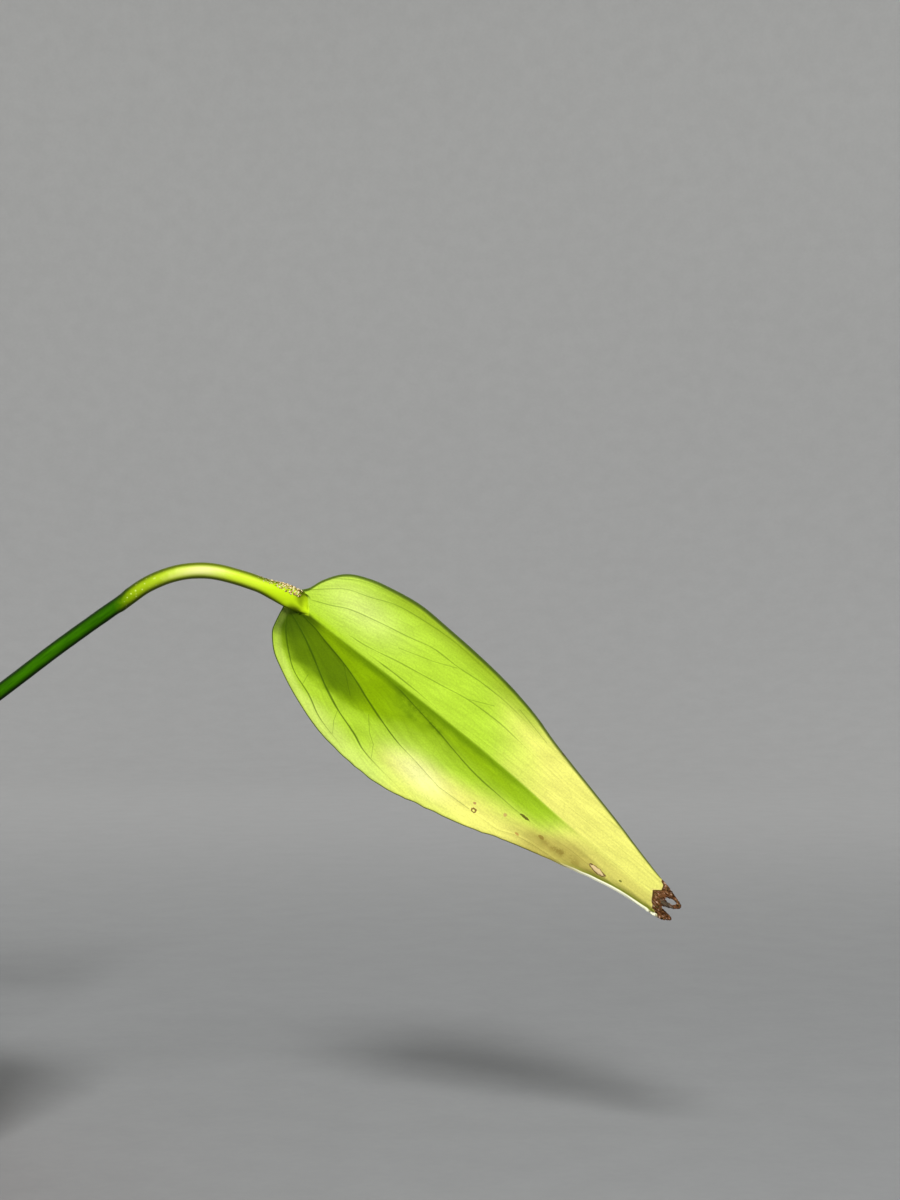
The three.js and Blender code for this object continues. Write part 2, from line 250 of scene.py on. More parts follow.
def bump_of(tree, shader, height, strength, distance):
    """Feeds a surface height to the shader as fine relief."""
    bump = add(tree, "ShaderNodeBump", {"Strength": strength, "Distance": distance,
                                        "Height": height})
    tree.links.new(bump.outputs[0], shader.inputs["Normal"])


pot_finish, tree, shader = finish_of("terracotta_plastic", Roughness=0.5)
where = place_of(tree)
mottle, grain = uneven(tree, where, 1400.0)
body_colour = blend_of(tree, ramp_of(tree, mottle, 0.35, 0.65), tone(156, 82, 55), tone(165, 88, 59))
height_up = parts_of(tree, where)[2]
stains = noise_of(tree, where, 38.0, 5.0)
scale_band = ramp_of(tree, height_up, 70 * MM, 108 * MM)
limescale = times(tree, times(tree, ramp_of(tree, stains, 0.5, 0.72), scale_band), 0.35)
stained = blend_of(tree, limescale, body_colour, tone(214, 188, 168))
foot_dirt = times(tree, ramp_of(tree, stains, 0.4, 0.7), ramp_of(tree, height_up, 26 * MM, 0.0))
dirty = blend_of(tree, times(tree, foot_dirt, 0.5), stained, tone(84, 52, 36))
tree.links.new(dirty, shader.inputs["Base Color"])
tree.links.new(ramp_of(tree, mottle, 0.3, 0.7, 0.42, 0.6), shader.inputs["Roughness"])
bump_of(tree, shader, grain, 0.25, 0.1 * MM)
pot.data.materials.clear()
pot.data.materials.append(pot_finish)
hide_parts("pot")
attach(pot, "root")


# Soil
# Dark peat-based potting mix that fills the pot to a finger's width below the rim, with
# loose crumbs, white perlite grains and a few chips of bark lying on it.
soil_level = pot_height - 17 * MM
soil_crown = 1 * MM
soil_clearance = 0.3 * MM


def soil_height(x, y):
    """Height of the soil's surface, with lumps."""
    reach = math.hypot(x, y) / rim_radius
    lump = noise.noise(Vector((x, y, 0)) * 70) * 1.3 + noise.noise(Vector((x, y, 5)) * 260) * 0.7
    return soil_level + soil_crown * (1 - reach * reach) + lump * MM


def soil_wall(height):
    """Radius of the soil against the pot's wall."""
    return wall_radius(height) - pot_wall - soil_clearance


soil_profile = [(0, pot_floor + soil_clearance)]
soil_profile += [(base_radius - 2 * pot_wall - soil_clearance, pot_floor + soil_clearance)]
soil_profile += [(soil_wall(0), pot_floor + pot_wall), (soil_wall(soil_level), soil_level - 1 * MM)]
soil_profile += [(r, soil_level) for r in np.linspace(soil_wall(soil_level), 0, 70)]
soil_shape = turned(soil_profile, 160)
for vertex in soil_shape.verts:
    if vertex.co.z > soil_level - 0.5 * MM:
        vertex.co.z = soil_height(vertex.co.x, vertex.co.y)
soil = piece_of(soil_shape, "potting_soil")

scatter = random.Random(7)


def strewn(count, size_low, size_high, flatness, detail, name, sunk=0.2):
    """Many small lumps lying on the soil, in one piece."""
    heap = bmesh.new()
    for _ in range(count):
        reach = 0.97 * soil_wall(soil_level) * math.sqrt(scatter.random())
        turn = scatter.uniform(0, math.tau)
        x, y = reach * math.cos(turn), reach * math.sin(turn)
        size = scatter.uniform(size_low, size_high) * MM
        shape = Matrix.Diagonal((1, scatter.uniform(0.6, 0.95), flatness, 1))
        spin = Matrix.Rotation(scatter.uniform(0, math.tau), 4, "Z")
        tip = Matrix.Rotation(scatter.uniform(-0.5, 0.5), 4, "X")
        at = Matrix.Translation((x, y, soil_height(x, y) + size * (flatness - sunk)))
        made = bmesh.ops.create_icosphere(heap, subdivisions=detail, radius=size,
                                          matrix=at @ spin @ tip @ shape)
        for vertex in made["verts"]:
            wobble = noise.noise(vertex.co * 900) * 0.35 * size
            vertex.co += (vertex.co - at.translation).normalized() * wobble
    return piece_of(heap, name, smooth=False)


crumbs = strewn(2600, 0.5, 1.7, 0.75, 1, "soil_crumbs")
perlite = strewn(95, 0.7, 1.7, 0.85, 2, "perlite_grains", sunk=0.35)
bark = strewn(70, 1.6, 3.6, 0.3, 1, "bark_chips", sunk=0.05)

soil_finish, tree, shader = finish_of("damp_peat", Roughness=0.95)
where = place_of(tree)
mottle, grain = uneven(tree, where, 900.0)
fibres = add(tree, "ShaderNodeTexVoronoi", {"Vector": where, "Scale": 700.0}).outputs[0]
peat = blend_of(tree, ramp_of(tree, mottle, 0.35, 0.62), tone(34, 24, 17), tone(78, 56, 39))
peat = blend_of(tree, ramp_of(tree, fibres, 0.5, 0.0), peat, tone(58, 42, 30))
tree.links.new(peat, shader.inputs["Base Color"])
bump_of(tree, shader, math_of(tree, "ADD", grain, fibres), 0.8, 0.8 * MM)

perlite_finish, tree, shader = finish_of("perlite", Roughness=0.9)
where = place_of(tree)
mottle, grain = uneven(tree, where, 1800.0)
tree.links.new(blend_of(tree, ramp_of(tree, mottle, 0.3, 0.6), tone(176, 166, 148), tone(232, 228, 218)),
               shader.inputs["Base Color"])
bump_of(tree, shader, grain, 0.6, 0.3 * MM)

bark_finish, tree, shader = finish_of("pine_bark", Roughness=0.85)
where = place_of(tree)
mottle, grain = uneven(tree, where, 700.0)
tree.links.new(blend_of(tree, ramp_of(tree, mottle, 0.35, 0.6), tone(62, 40, 28), tone(124, 84, 56)),
               shader.inputs["Base Color"])
bump_of(tree, shader, grain, 0.7, 0.5 * MM)

for thing, finish in ((soil, soil_finish), (crumbs, soil_finish), (perlite, perlite_finish),
                      (bark, bark_finish)):
    thing.data.materials.append(finish)
    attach(thing, "root")
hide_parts("soil")


# Stem
# A short, thick green stem that climbs as it grows, with corky patches, a swollen ring
# with a fine scar at each node, and two corky aerial roots that started at the nodes.
stem_points = [(-9, 1, 62), (-8, 0, 96), (-10, -1, 118), (-14, 0, 147)]
stem_base_radius = 6.2
stem_top_radius = 4.4
stem_nodes = [0.44, 0.6, 0.75, 0.88]
node_swelling = 0.9
node_width = 0.025
leaf_scar_height = 0.3
stem_ripple = 0.12
root_radius = 1.5
root_knots = 0.16
root_taper = 0.45
root_routes = [
    [(-8, -2, 104), (-5, -12, 107), (2, -19, 101), (5, -23, 84)],
    [(-10, 0, 117), (-6, 9, 119), (-2, 15, 113), (-1, 17, 107)],
]


def smooth_line(points, count, power=0.5):
    """Evenly spaced places on a smooth line through the points."""
    given = np.array(points, float)
    given = np.vstack([2 * given[0] - given[1], given, 2 * given[-1] - given[-2]])
    line = []
    for i in range(1, len(given) - 2):
        a, b, c, d = given[i - 1:i + 3]
        knots = np.cumsum([0] + [np.linalg.norm(q - p) ** power for p, q in ((a, b), (b, c), (c, d))])
        for x in np.linspace(knots[1], knots[2], 30, endpoint=False):
            def between(p, q, low, high):
                return (p * (knots[high] - x) + q * (x - knots[low])) / (knots[high] - knots[low])
            ab, bc, cd = between(a, b, 0, 1), between(b, c, 1, 2), between(c, d, 2, 3)
            line.append(between(between(ab, bc, 0, 2), between(bc, cd, 1, 3), 1, 2))
    line = np.array(line + [given[-2]])
    run = np.concatenate([[0], np.cumsum(np.linalg.norm(np.diff(line, axis=0), axis=1))])
    even = np.linspace(0, run[-1], count)
    return np.stack([np.interp(even, run, line[:, k]) for k in range(line.shape[1])], 1)


def rod(route, side, radius_at, rings, around):
    """A capped round rod bent along a route in millimetres. radius_at takes the share of
    the length and the direction round the section. The attribute "grain" holds where a
    point is: across, over and along, in metres."""
    line = smooth_line(route, rings + 1)
    length = np.linalg.norm(np.diff(line, axis=0), axis=1).sum()
    forward = np.gradient(line, axis=0)
    forward /= np.linalg.norm(forward, axis=1)[:, None]
    side = np.array(side, float)
    sideways = side - forward * (forward @ side)[:, None]
    sideways /= np.linalg.norm(sideways, axis=1)[:, None]
    upward = np.cross(forward, sideways)
    shape = bmesh.new()
    bmesh.ops.create_cone(shape, cap_ends=True, cap_tris=False, segments=around, radius1=1,
                          radius2=1, depth=1)
    long_edges = [e for e in shape.edges if abs(e.verts[0].co.z - e.verts[1].co.z) > 0.5]
    bmesh.ops.subdivide_edges(shape, edges=long_edges, cuts=rings - 1)
    grain = shape.verts.layers.float_vector.new("grain")
    for vertex in shape.verts:
        share = min(max(vertex.co.z + 0.5, 0), 1)
        ring = round(share * rings)
        across, over = vertex.co.x, vertex.co.y
        radius = radius_at(share, across, over)
        place = line[ring] + radius * (across * sideways[ring] + over * upward[ring])
        vertex.co = Vector(place) * MM
        vertex[grain] = Vector((across * radius, over * radius, share * length)) * MM
    bmesh.ops.recalc_face_normals(shape, faces=shape.faces)
    return shape


def rounded_end(share, start, run):
    """Narrows a rod to a round end, from a share of its length on."""
    return math.sqrt(max(0, 1 - max(0, (share - start) / run) ** 2))


def stem_radius(share, across, over):
    """Radius of the stem, in mm."""
    plain = stem_base_radius + (stem_top_radius - stem_base_radius) * share
    swelling = sum(math.exp(-((share - node) / node_width) ** 2) for node in stem_nodes)
    scar = sum(math.exp(-((share - node - 0.008) / 0.004) ** 2) for node in stem_nodes)
    ripple = stem_ripple * noise.noise(Vector((3 * across, 3 * over, 22 * share)))
    swollen = plain + node_swelling * swelling + leaf_scar_height * scar + ripple
    return swollen * max(rounded_end(share, 0.95, 0.052), 0.05)


def root_radius_at(share, across, over):
    """Radius of an aerial root, in mm."""
    knots = root_knots * noise.noise(Vector((2 * across, 2 * over, 9 * share)))
    thinned = root_radius * (1 - root_taper * share ** 3 + knots)
    return thinned * max(rounded_end(share, 0.94, 0.062), 0.06)


stem = piece_of(rod(stem_points, (0, 1, 0), stem_radius, 240, 48), "stem_with_nodes")
roots = [piece_of(rod(route, (1, 0.3, 0), root_radius_at, 80, 20), f"aerial_root_{k + 1}")
         for k, route in enumerate(root_routes)]


def value_of(tree, name, kind="Fac"):
    """A value that the mesh holds on its points."""
    return add(tree, "ShaderNodeAttribute", attribute_name=name).outputs[kind]


def stretched(tree, place, scale):
    """A place scaled on each axis, for a texture that runs one way."""
    return add(tree, "ShaderNodeMapping", {"Vector": place, "Scale": scale}).outputs[0]


stem_finish, tree, shader = finish_of("stem_skin", Roughness=0.5)
place = value_of(tree, "grain", "Vector")
mottle, grain = uneven(tree, stretched(tree, place, (1, 1, 0.25)), 1500.0)
patches = noise_of(tree, place, 120.0, 4.0)
green = blend_of(tree, ramp_of(tree, mottle, 0.35, 0.65), tone(74, 104, 38), tone(112, 142, 62))
corky = blend_of(tree, ramp_of(tree, patches, 0.52, 0.64), green, tone(118, 110, 62))
tree.links.new(corky, shader.inputs["Base Color"])
tree.links.new(ramp_of(tree, patches, 0.45, 0.65, 0.42, 0.8), shader.inputs["Roughness"])
bump_of(tree, shader, grain, 0.35, 0.3 * MM)

root_finish, tree, shader = finish_of("corky_root", Roughness=0.85)
place = value_of(tree, "grain", "Vector")
mottle, grain = uneven(tree, place, 1600.0)
tree.links.new(blend_of(tree, ramp_of(tree, mottle, 0.35, 0.62), tone(88, 62, 38), tone(150, 118, 78)),
               shader.inputs["Base Color"])
bump_of(tree, shader, grain, 0.8, 0.4 * MM)

for thing, finish in [(stem, stem_finish)] + [(root, root_finish) for root in roots]:
    thing.data.materials.append(finish)
    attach(thing, "root")
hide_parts("stem")


# Leaf stalks
# Round and smooth, each with a sheath at its base that clasps the stem and is hollowed on
# its upper side, and a paler, slightly thicker knuckle that bends over, widens and flattens
# into the blade. A highlight along the knuckle and shade towards each stalk's outline are painted into the
# skin's colour.
stalk_radius = 2.3
stalk_base_radius = 3.5
knuckle_radius = 2.5
sheath_share = 0.42
sheath_hollow = 0.42
sheath_lips = 0.16
knuckle_slant = 0.011
knuckle_collar = 0.13
stalk_ripple = 0.05
blade_seat = (0.3, -0.2, -1.2)
rib_entry = (3.8, 0.8, 0.5)
wedge_half_width = 3.4
wedge_end = ((0, -2.5), (3.4, 1.25))
wedge_fold = ((3.4, 1.25), (-4.9, 4.3))
wedge_top = -2.6

# The meshes hold places on a blade in units of 100 mm, so this is one millimetre
stored_mm = 0.01

leaves = [
    {
        "stalk": [(-7, 0, 96.3), (24, 0, 119.2), (63, 0, 148), (81.6, 0, 162.1),
                  (100.2, -0.3, 175.3), (109.5, -0.6, 181.6), (118.8, -1, 184.9),
                  (128.1, -1.3, 185.4), (137.4, -1.6, 183.3), (147, -1.8, 179.8)],
        "knuckle": 0.678,
        "blade": (156.9, 0, 174.8),
        "pointing": (0.7798, 0, -0.626),
        "facing": (0, 1, 0),
        "scale": 1,
        "arch": 4,
        "droop": 6,
    },
    {
        "stalk": [(-10, -1, 110), (-32, -6, 142), (-62, -12, 188), (-84, -17, 216),
                  (-99, -21, 224), (-112, -24, 221)],
        "knuckle": 0.8,
        "blade": (-121, -27, 212),
        "pointing": (-0.52, -0.2, -0.83),
        "facing": (-0.8, -0.2, 0.56),
        "scale": 0.98,
        "arch": 7,
        "droop": 14,
    },
    {
        "stalk": [(-11.5, 0, 126), (-5, 14, 170), (2, 34, 222), (5, 48, 248), (6, 62, 258),
                  (7, 75, 255)],
        "knuckle": 0.82,
        "blade": (7, 84, 247),
        "pointing": (0.02, 0.6, -0.8),
        "facing": (0.1, 0.78, 0.6),
        "scale": 0.94,
        "arch": 6,
        "droop": 12,
    },
    {
        "stalk": [(-13, -1, 138), (-22, -14, 180), (-33, -31, 232), (-39, -42, 258),
                  (-44, -54, 269), (-50, -66, 267)],
        "knuckle": 0.82,
        "blade": (-54, -74, 260),
        "pointing": (-0.3, -0.55, -0.78),
        "facing": (-0.45, -0.62, 0.62),
        "scale": 0.84,
        "arch": 5,
        "droop": 10,
    },
]


def step(value, low, high):
    """Smooth step from 0 at low to 1 at high."""
    share = np.clip((value - low) / (high - low), 0, 1)
    return share * share * (3 - 2 * share)


def blade_frame(leaf):
    """From the blade's own millimetres (along the midrib, across, out of the upper side)."""
    along = Vector(leaf["pointing"]).normalized()
    out = Vector(leaf["facing"])
    out = (out - along * out.dot(along)).normalized()
    across = out.cross(along)
    axes = Matrix((along, across, out)).transposed().to_4x4()
    return Matrix.Translation(Vector(leaf["blade"])) @ axes @ Matrix.Scale(leaf["scale"], 4)


def stalk_rod(leaf, rings, around):
    """The stalk, which widens and flattens at its end."""
    frame_here = blade_frame(leaf)
    ends = [tuple(frame_here @ Vector(place)) for place in (blade_seat, rib_entry)]
    side = frame_here.to_3x3() @ Vector((0, 0, 1))

    def radius_at(share, across, over):
        base = max(0, 1 - share / sheath_share)
        plain = stalk_radius + (stalk_base_radius - stalk_radius) * base ** 1.5
        top = math.atan2(across, over)
        opened = min(1, 3 * base)
        hollow = sheath_hollow * math.exp(-(top / 0.5) ** 2) * opened
        lips = sheath_lips * sum(math.exp(-((top - turn) / 0.2) ** 2) for turn in (0.85, -0.85)) * opened
        slant = share - leaf["knuckle"] - knuckle_slant * over
        knuckle = (knuckle_radius - stalk_radius) / (1 + math.exp(-slant / 0.0035))
        collar = knuckle_collar * math.exp(-(slant / 0.006) ** 2)
        ripple = stalk_ripple * noise.noise(Vector((over, across, 40 * share)))
        round_part = plain * (1 - hollow + lips) + knuckle + collar + ripple
        wide = round_part + (wedge_half_width - knuckle_radius) * step(share, 0.9, 0.955)
        wide *= 1 - 0.5 * step(share, 0.985, 1)
        deep = round_part * (1 - 0.9 * step(share, 0.92, 0.99))
        return leaf["scale"] / math.hypot(across / deep, over / wide)

    return rod(leaf["stalk"] + ends, side, radius_at, rings, around)


def place_on_blade(thing, leaf):
    """Gives each point its place along and across the blade, as the blade's own points have."""
    to_blade = (Matrix.Scale(MM, 4) @ blade_frame(leaf)).inverted()
    attribute = thing.data.attributes.new("leaf_place", "FLOAT_VECTOR", "POINT")
    for vertex, item in zip(thing.data.vertices, attribute.data):
        place = to_blade @ vertex.co
        item.vector = (place.x * stored_mm, place.y * stored_mm, 0)


def past_line(tree, place, line, soft=0.3):
    """Rises from 0 to 1 where a place on the blade passes a line, to that line's right."""
    (s_start, t_start), (s_end, t_end) = line
    length = math.hypot(s_end - s_start, t_end - t_start)
    right = ((t_end - t_start) / length, -(s_end - s_start) / length)
    passed = add(tree, "ShaderNodeVectorMath", {0: place, 1: (*right, 0)}, operation="DOT_PRODUCT")
    start = (right[0] * s_start + right[1] * t_start) * stored_mm
    return ramp_of(tree, passed.outputs["Value"], start - soft * stored_mm, start + soft * stored_mm)


def band_of(tree, value, rise, fall):
    """Product of two smooth steps, one that rises and one that falls."""
    return times(tree, ramp_of(tree, value, *rise), ramp_of(tree, value, *fall))


def shaded(tree, colour, shade):
    """A colour made lighter or darker by a factor."""
    return add(tree, "ShaderNodeVectorMath", {0: colour, 1: shade}, operation="MULTIPLY").outputs[0]


def ragged_of(tree, place, scale, swing):
    """An even swing about zero, for an edge that isn't straight."""
    return times(tree, math_of(tree, "SUBTRACT", noise_of(tree, place, scale, 3.0), 0.5), swing)


def stalk_finish(name, straight, knuckle_colours, ending_colours, reach):
    """Green skin with fine lengthwise streaks, paler past the knuckle's slanting edge, with a
    painted highlight along the knuckle's middle and painted shade towards the outline."""
    material, tree, shader = finish_of(name, Specular_IOR_Level=0.08)
    shader.inputs["Specular Tint"].default_value = (0.85, 1, 0.25, 1)
    place = value_of(tree, "grain", "Vector")
    mottle, grain = uneven(tree, stretched(tree, place, (1, 1, 0.12)), 1500.0)
    _, over, lengthwise = parts_of(tree, place)
    slanting = math_of(tree, "ADD", lengthwise, times(tree, over, -0.9))
    along = math_of(tree, "ADD", slanting, ragged_of(tree, place, 420.0, 0.006))
    start, end = reach
    pale, ripe, highlight_colour = knuckle_colours
    turning = ramp_of(tree, along, start - 4 * MM, start + 5 * MM)
    ripening = ramp_of(tree, along, start, start + 26 * MM)
    skin = blend_of(tree, ramp_of(tree, mottle, 0.3, 0.7), *straight)
    skin = blend_of(tree, turning, skin, blend_of(tree, ripening, pale, ripe))
    # Painted highlight: a pale band along the middle of the knuckle's skin.
    painted_highlight = band_of(tree, along, (start + 12 * MM, start + 28 * MM), (start + 38 * MM, start + 26 * MM))
    from_middle = math_of(tree, "ABSOLUTE", over)
    painted_highlight = times(tree, painted_highlight, ramp_of(tree, from_middle, 2.0 * MM, 0.6 * MM))
    skin = blend_of(tree, painted_highlight, skin, highlight_colour)
    specks = add(tree, "ShaderNodeTexVoronoi", {"Vector": place, "Scale": 900.0}).outputs[0]
    near = band_of(tree, along, (start - 1 * MM, start + 1 * MM), (start + 17 * MM, start + 9 * MM))
    dots = times(tree, ramp_of(tree, specks, 0.32, 0.16), near)
    skin = blend_of(tree, times(tree, dots, 0.75), skin, tone(226, 244, 120))
    wedge, upper_lobe, lower_lobe = ending_colours
    skin = blend_of(tree, ramp_of(tree, along, end - 24 * MM, end - 13 * MM), skin, wedge)
    # Painted shade: the skin is darkened towards the stalk's outline, where it turns away from the view.
    outline = add(tree, "ShaderNodeLayerWeight", {"Blend": 0.5}).outputs["Facing"]
    skin = shaded(tree, skin, ramp_of(tree, outline, 0.0, 0.42, 1.0, 0.18))
    on_blade = value_of(tree, "leaf_place", "Vector")
    at_end = ramp_of(tree, along, end - 11 * MM, end - 8 * MM)
    # Past the fold line the end takes the lower lobe's tone there, which includes that lobe's painted
    # shade.
    for line, colour in ((wedge_end, upper_lobe), (wedge_fold, lower_lobe)):
        skin = blend_of(tree, times(tree, past_line(tree, on_blade, line), at_end), skin, colour)
    tree.links.new(skin, shader.inputs["Base Color"])
    tree.links.new(ramp_of(tree, along, start, start + 22 * MM, 0.5, 0.3), shader.inputs["Roughness"])
    bump_of(tree, shader, math_of(tree, "ADD", grain, times(tree, dots, 0.5)), 0.18, 0.15 * MM)
    return material


stalks = []
for number, leaf in enumerate(leaves, 1):
    first = number == 1
    stalk = piece_of(stalk_rod(leaf, 320 if first else 180, 48 if first else 32),
                     f"stalk_of_leaf_{number}")
    total = max(v.vector[2] for v in stalk.data.attributes["grain"].data)
    reach = (leaf["knuckle"] * total, total)
    if first:
        # The third knuckle tone is a painted highlight.
        finish = stalk_finish("old_stalk_skin", (tone(38, 92, 0), tone(60, 127, 0)),
                              (tone(152, 184, 10), tone(220, 248, 56), tone(255, 255, 156)),
                              (tone(208, 244, 28), tone(196, 232, 70), tone(84, 116, 2)), reach)
    else:
        # The third knuckle tone is a faint painted highlight.
        finish = stalk_finish(f"stalk_skin_{number}", (tone(64, 108, 30), tone(86, 132, 42)),
                              (tone(112, 158, 54), tone(128, 174, 62), tone(140, 184, 74)),
                              (tone(124, 170, 56), tone(122, 164, 66), tone(116, 158, 60)), reach)
    stalk.data.materials.append(finish)
    place_on_blade(stalk, leaf)
    stalks.append(stalk)
    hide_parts(f"leaf_stalk_{number}")
    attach(stalk, "root")


# Leaf blades
# Thin leathery blades, entire and lance-shaped, folded a little along the midrib, with
# veins that leave it near the base and run on towards the tip. The oldest is yellowing
# from its tip and its margins, with brown specks and a dry, torn end. Shade below its fold, beside the
# stalk and along its upper margin, and a shaded gutter and a lit edge near its tip are painted into its
# colour.
long_margin = [(-4.6, 3.9), (-3.4, 9.7), (-2.3, 12.6), (1.5, 16.7), (6.2, 19.5), (15.5, 23.7),
               (27.9, 27.6), (40.3, 29.3), (52.7, 29.2), (65.1, 26.7), (83.7, 21.7), (96.1, 17.3),
               (112, 12.8), (129.3, 8.4), (142.9, 6.8)]
short_margin = [(-4.2, -2.5), (-1.9, -5.4), (-0.3, -9.6), (2.4, -13.9), (5.3, -16.6), (9.3, -18.6),
                (15.5, -20.6), (27.9, -22.8), (40.3, -22.6), (52.7, -22), (65.1, -20.8),
                (77.5, -18.6), (89.9, -15.2), (114.7, -9.6), (127.1, -6.5), (141.5, -3)]
midrib_line = [(0, 0.8), (20, 0.7), (40, 0.3), (60, 0.1), (84, 0.5), (110, 1.6), (144.5, 1.5)]
torn_end = [(141.5, -3), (145.7, -1.9), (148.9, -0.8), (148.4, 0.6), (146.2, 1.8), (144.4, 2.7),
            (145, 3.4), (149, 4), (147.9, 5.3), (144.5, 6.6)]
whole_tip = (156.6, 1)
blade_thickness = 0.5
edge_thickness = 0.45
bead_height = 0.15
rib_height = 0.22
rib_base_height = 0.35
groove_depth = 0.35
vein_height = 0.1
old_quilting = 0.14
young_quilting = 0.3
buckling = 0.4
rolled_edges = (0.35, 0.7)
crease_height = 0.5
crumpling = 1.1
long_rise = (0.42, -0.36)
short_rise = (0.3, -0.09)
margin_wave = 0.5
margin_wave_rate = 0.13

# Main veins on both sides of the midrib, from one margin to the other: places along and
# across the midrib, how dark each is on the oldest leaf, and where it starts and fades there
veins_above = [
    ([(2, -12.5), (8, -16.4), (12, -18.1), (18.5, -19.8), (30, -21), (60, -20.4)], 0.4, 2, 34),
    ([(-3.2, -3.4), (3.3, -9.2), (7.3, -12.2), (14.6, -14.9), (22, -17.9), (30, -19.4),
      (44, -20.5), (58, -19.8), (75, -17.6)], 0.5, -4, 58),
    ([(0, -2.4), (6.5, -5.2), (11.7, -7.8), (21.4, -10.4), (32.3, -12.8), (40, -14.7), (50, -15),
      (58, -15.8), (70, -15.7), (86, -13.9)], 0.6, 0, 82),
    ([(8, -1), (23.2, -2.3), (33.4, -4.5), (41, -5.9), (50, -7.5), (58.3, -9), (70.3, -9.5),
      (82, -8.7), (100, -7.5)], 0.6, 17, 92),
    ([(20, -0.4), (30, -0.9), (35, -1.1), (44.5, -1.1), (52, -0.9), (70, -2), (100, -3)], 0.75, 28, 58),
]
veins_below = [
    ([(0, 0.95), (36, 1.3), (46, 2.6), (52, 3.5), (59.4, 4.7), (63.5, 5.6), (72, 7.1), (78, 7.7),
      (83, 7.9), (94, 8.2), (112, 7)], 0.8, 38, 102),
    ([(0, 1.6), (3.4, 2.6), (7.6, 3.2), (12, 4.3), (21.7, 6.4), (27.8, 8.2), (33.4, 10.3),
      (43.2, 13.4), (50.3, 15.2), (61, 16.6), (68.3, 17.9), (75, 17.5), (86.4, 16.8), (91.3, 16.2),
      (96.1, 14.2), (112, 12)], 1, 0, 67),
    ([(-3, 3.8), (-1.2, 4.3), (1.1, 5.1), (5.7, 7.1), (11.9, 10.3), (21.1, 15.5), (28.6, 18.8),
      (37.5, 21.6), (42.2, 23.6), (50.2, 25), (59.5, 25.8), (70, 27)], 1, -4, 60),
    ([(-3.6, 4.6), (-2.2, 5.2), (-1.7, 6), (0.6, 9.5), (5.8, 14.5), (10.2, 17.7), (18.7, 20.8),
      (25.5, 24.2), (36.2, 26.9), (48, 30)], 0.9, -4, 42),
]

# Short veins that join them, drawn straight from one place to the other
short_veins = [((28.6, 18.8), (29.8, 22.3)), ((29.8, 22.3), (32, 25.6)), ((37.1, 14), (40.8, 18.2)),
               ((40.8, 18.2), (44.1, 20.4)), ((44.1, 20.4), (46.2, 24)), ((15.1, 19.6), (14.6, 16)),
               ((31.3, -8), (42.7, -11.6)), ((42.7, -11.6), (49.6, -14.5)), ((73, -16.7), (86, -13.9)),
               ((58, -9), (66, -12.6)), ((21, 6.4), (29, 13)), ((58, 16.3), (68.3, 17.9)),
               ((68.3, 17.9), (80, 17.2))]


def smooth_function(points, at):
    """A smooth curve through points, read as one coordinate against the other."""
    along, across = smooth_line(points, 300, power=0.5).T
    return np.interp(at, along, across)


def veins_of(s, t, rib):
    """Signed distance to the nearest main vein in mm, which gap between veins a point is in,
    and how dark the nearest vein is there."""
    along = np.linspace(-8, 165, 700)
    curves = [smooth_function(vein[0], along) for vein in veins_above]
    curves.append(np.interp(along, *rib.T))
    curves += [smooth_function(vein[0], along) for vein in veins_below]
    curves = [curves[0] - 9] + curves + [curves[-1] + 9]
    curves = np.maximum.accumulate(np.array(curves) + 1e-3 * np.arange(len(curves))[:, None])
    darkness = [0 * along]
    for _, dark, start, fade in veins_above + [([], 0, 0, 60)] + veins_below:
        darkness.append(dark * step(along, start - 2, start + 4) * (1 - step(along, fade - 22, fade)))
    darkness = np.array(darkness + [0 * along])
    upright = 1 / np.hypot(1, np.gradient(curves, along, axis=1))
    lines = np.array([np.interp(s, along, curve) for curve in curves])
    index = np.clip((lines < t).sum(0) - 1, 0, len(lines) - 2)
    low = np.take_along_axis(lines, index[None], 0)[0]
    high = np.take_along_axis(lines, index[None] + 1, 0)[0]
    gap = np.maximum(high - low, 0.05)
    share = np.clip((t - low) / gap, 0, 1)
    nearest = index + (share > 0.5)
    column = np.interp(s, along, np.arange(len(along))).round().astype(int)
    distance = gap / math.pi * np.sin(math.pi * (index + share)) * upright[nearest, column]
    return distance, index + share, darkness[nearest, column]


def noise_over(places, along, across, layer):
    """Smooth noise over a grid of places on the blade."""
    return np.array([[noise.noise(Vector((x * along, y * across, layer))) for x, y in row]
                     for row in places])


def spread(points, shares):
    """Places on a smooth line through the points, at shares of its run."""
    line = smooth_line(points, 600, power=0)
    return np.stack([np.interp(shares, np.linspace(0, 1, 600), line[:, k]) for k in (0, 1)], 1)


def blade_plan(leaf, share, even, tau, torn):
    """The blade laid flat: its places row by row from base to tip, its midrib, and how far
    the margins are from it."""
    sides = [list(long_margin), list(short_margin), list(midrib_line)]
    if not torn:
        for line in sides:
            line[-1] = whole_tip
    reach_share = share if torn else np.minimum(share, 0.999)
    long_edge, short_edge = spread(sides[0], reach_share), spread(sides[1], reach_share)
    wander = np.array([noise.noise(Vector((x * 0.16, 9, leaf["scale"]))) for x in long_edge[:, 0]])
    long_edge[:, 1] -= 0.5 * np.abs(wander) * step(share, 0.25, 0.35) * step(share, 0.95, 0.85)
    rib = spread(sides[2], reach_share ** 1.2)
    edge = np.where((even > 0)[None, :, None], long_edge[:, None], short_edge[:, None])
    reach = np.linalg.norm(edge - rib[:, None], axis=2)
    flat = rib[:, None] + (edge - rib[:, None]) * tau[None, :, None]
    if torn:
        teeth = smooth_line(torn_end, len(even), power=0)
        teeth[:, 0] -= [0.4 * abs(noise.noise(Vector((k * 0.55, 3, 0)))) for k in range(len(teeth))]
        pull = step(share, 0.955, 1)[:, None, None]
        flat = flat + (teeth[None] - flat[-1][None]) * pull
    return flat, rib, reach


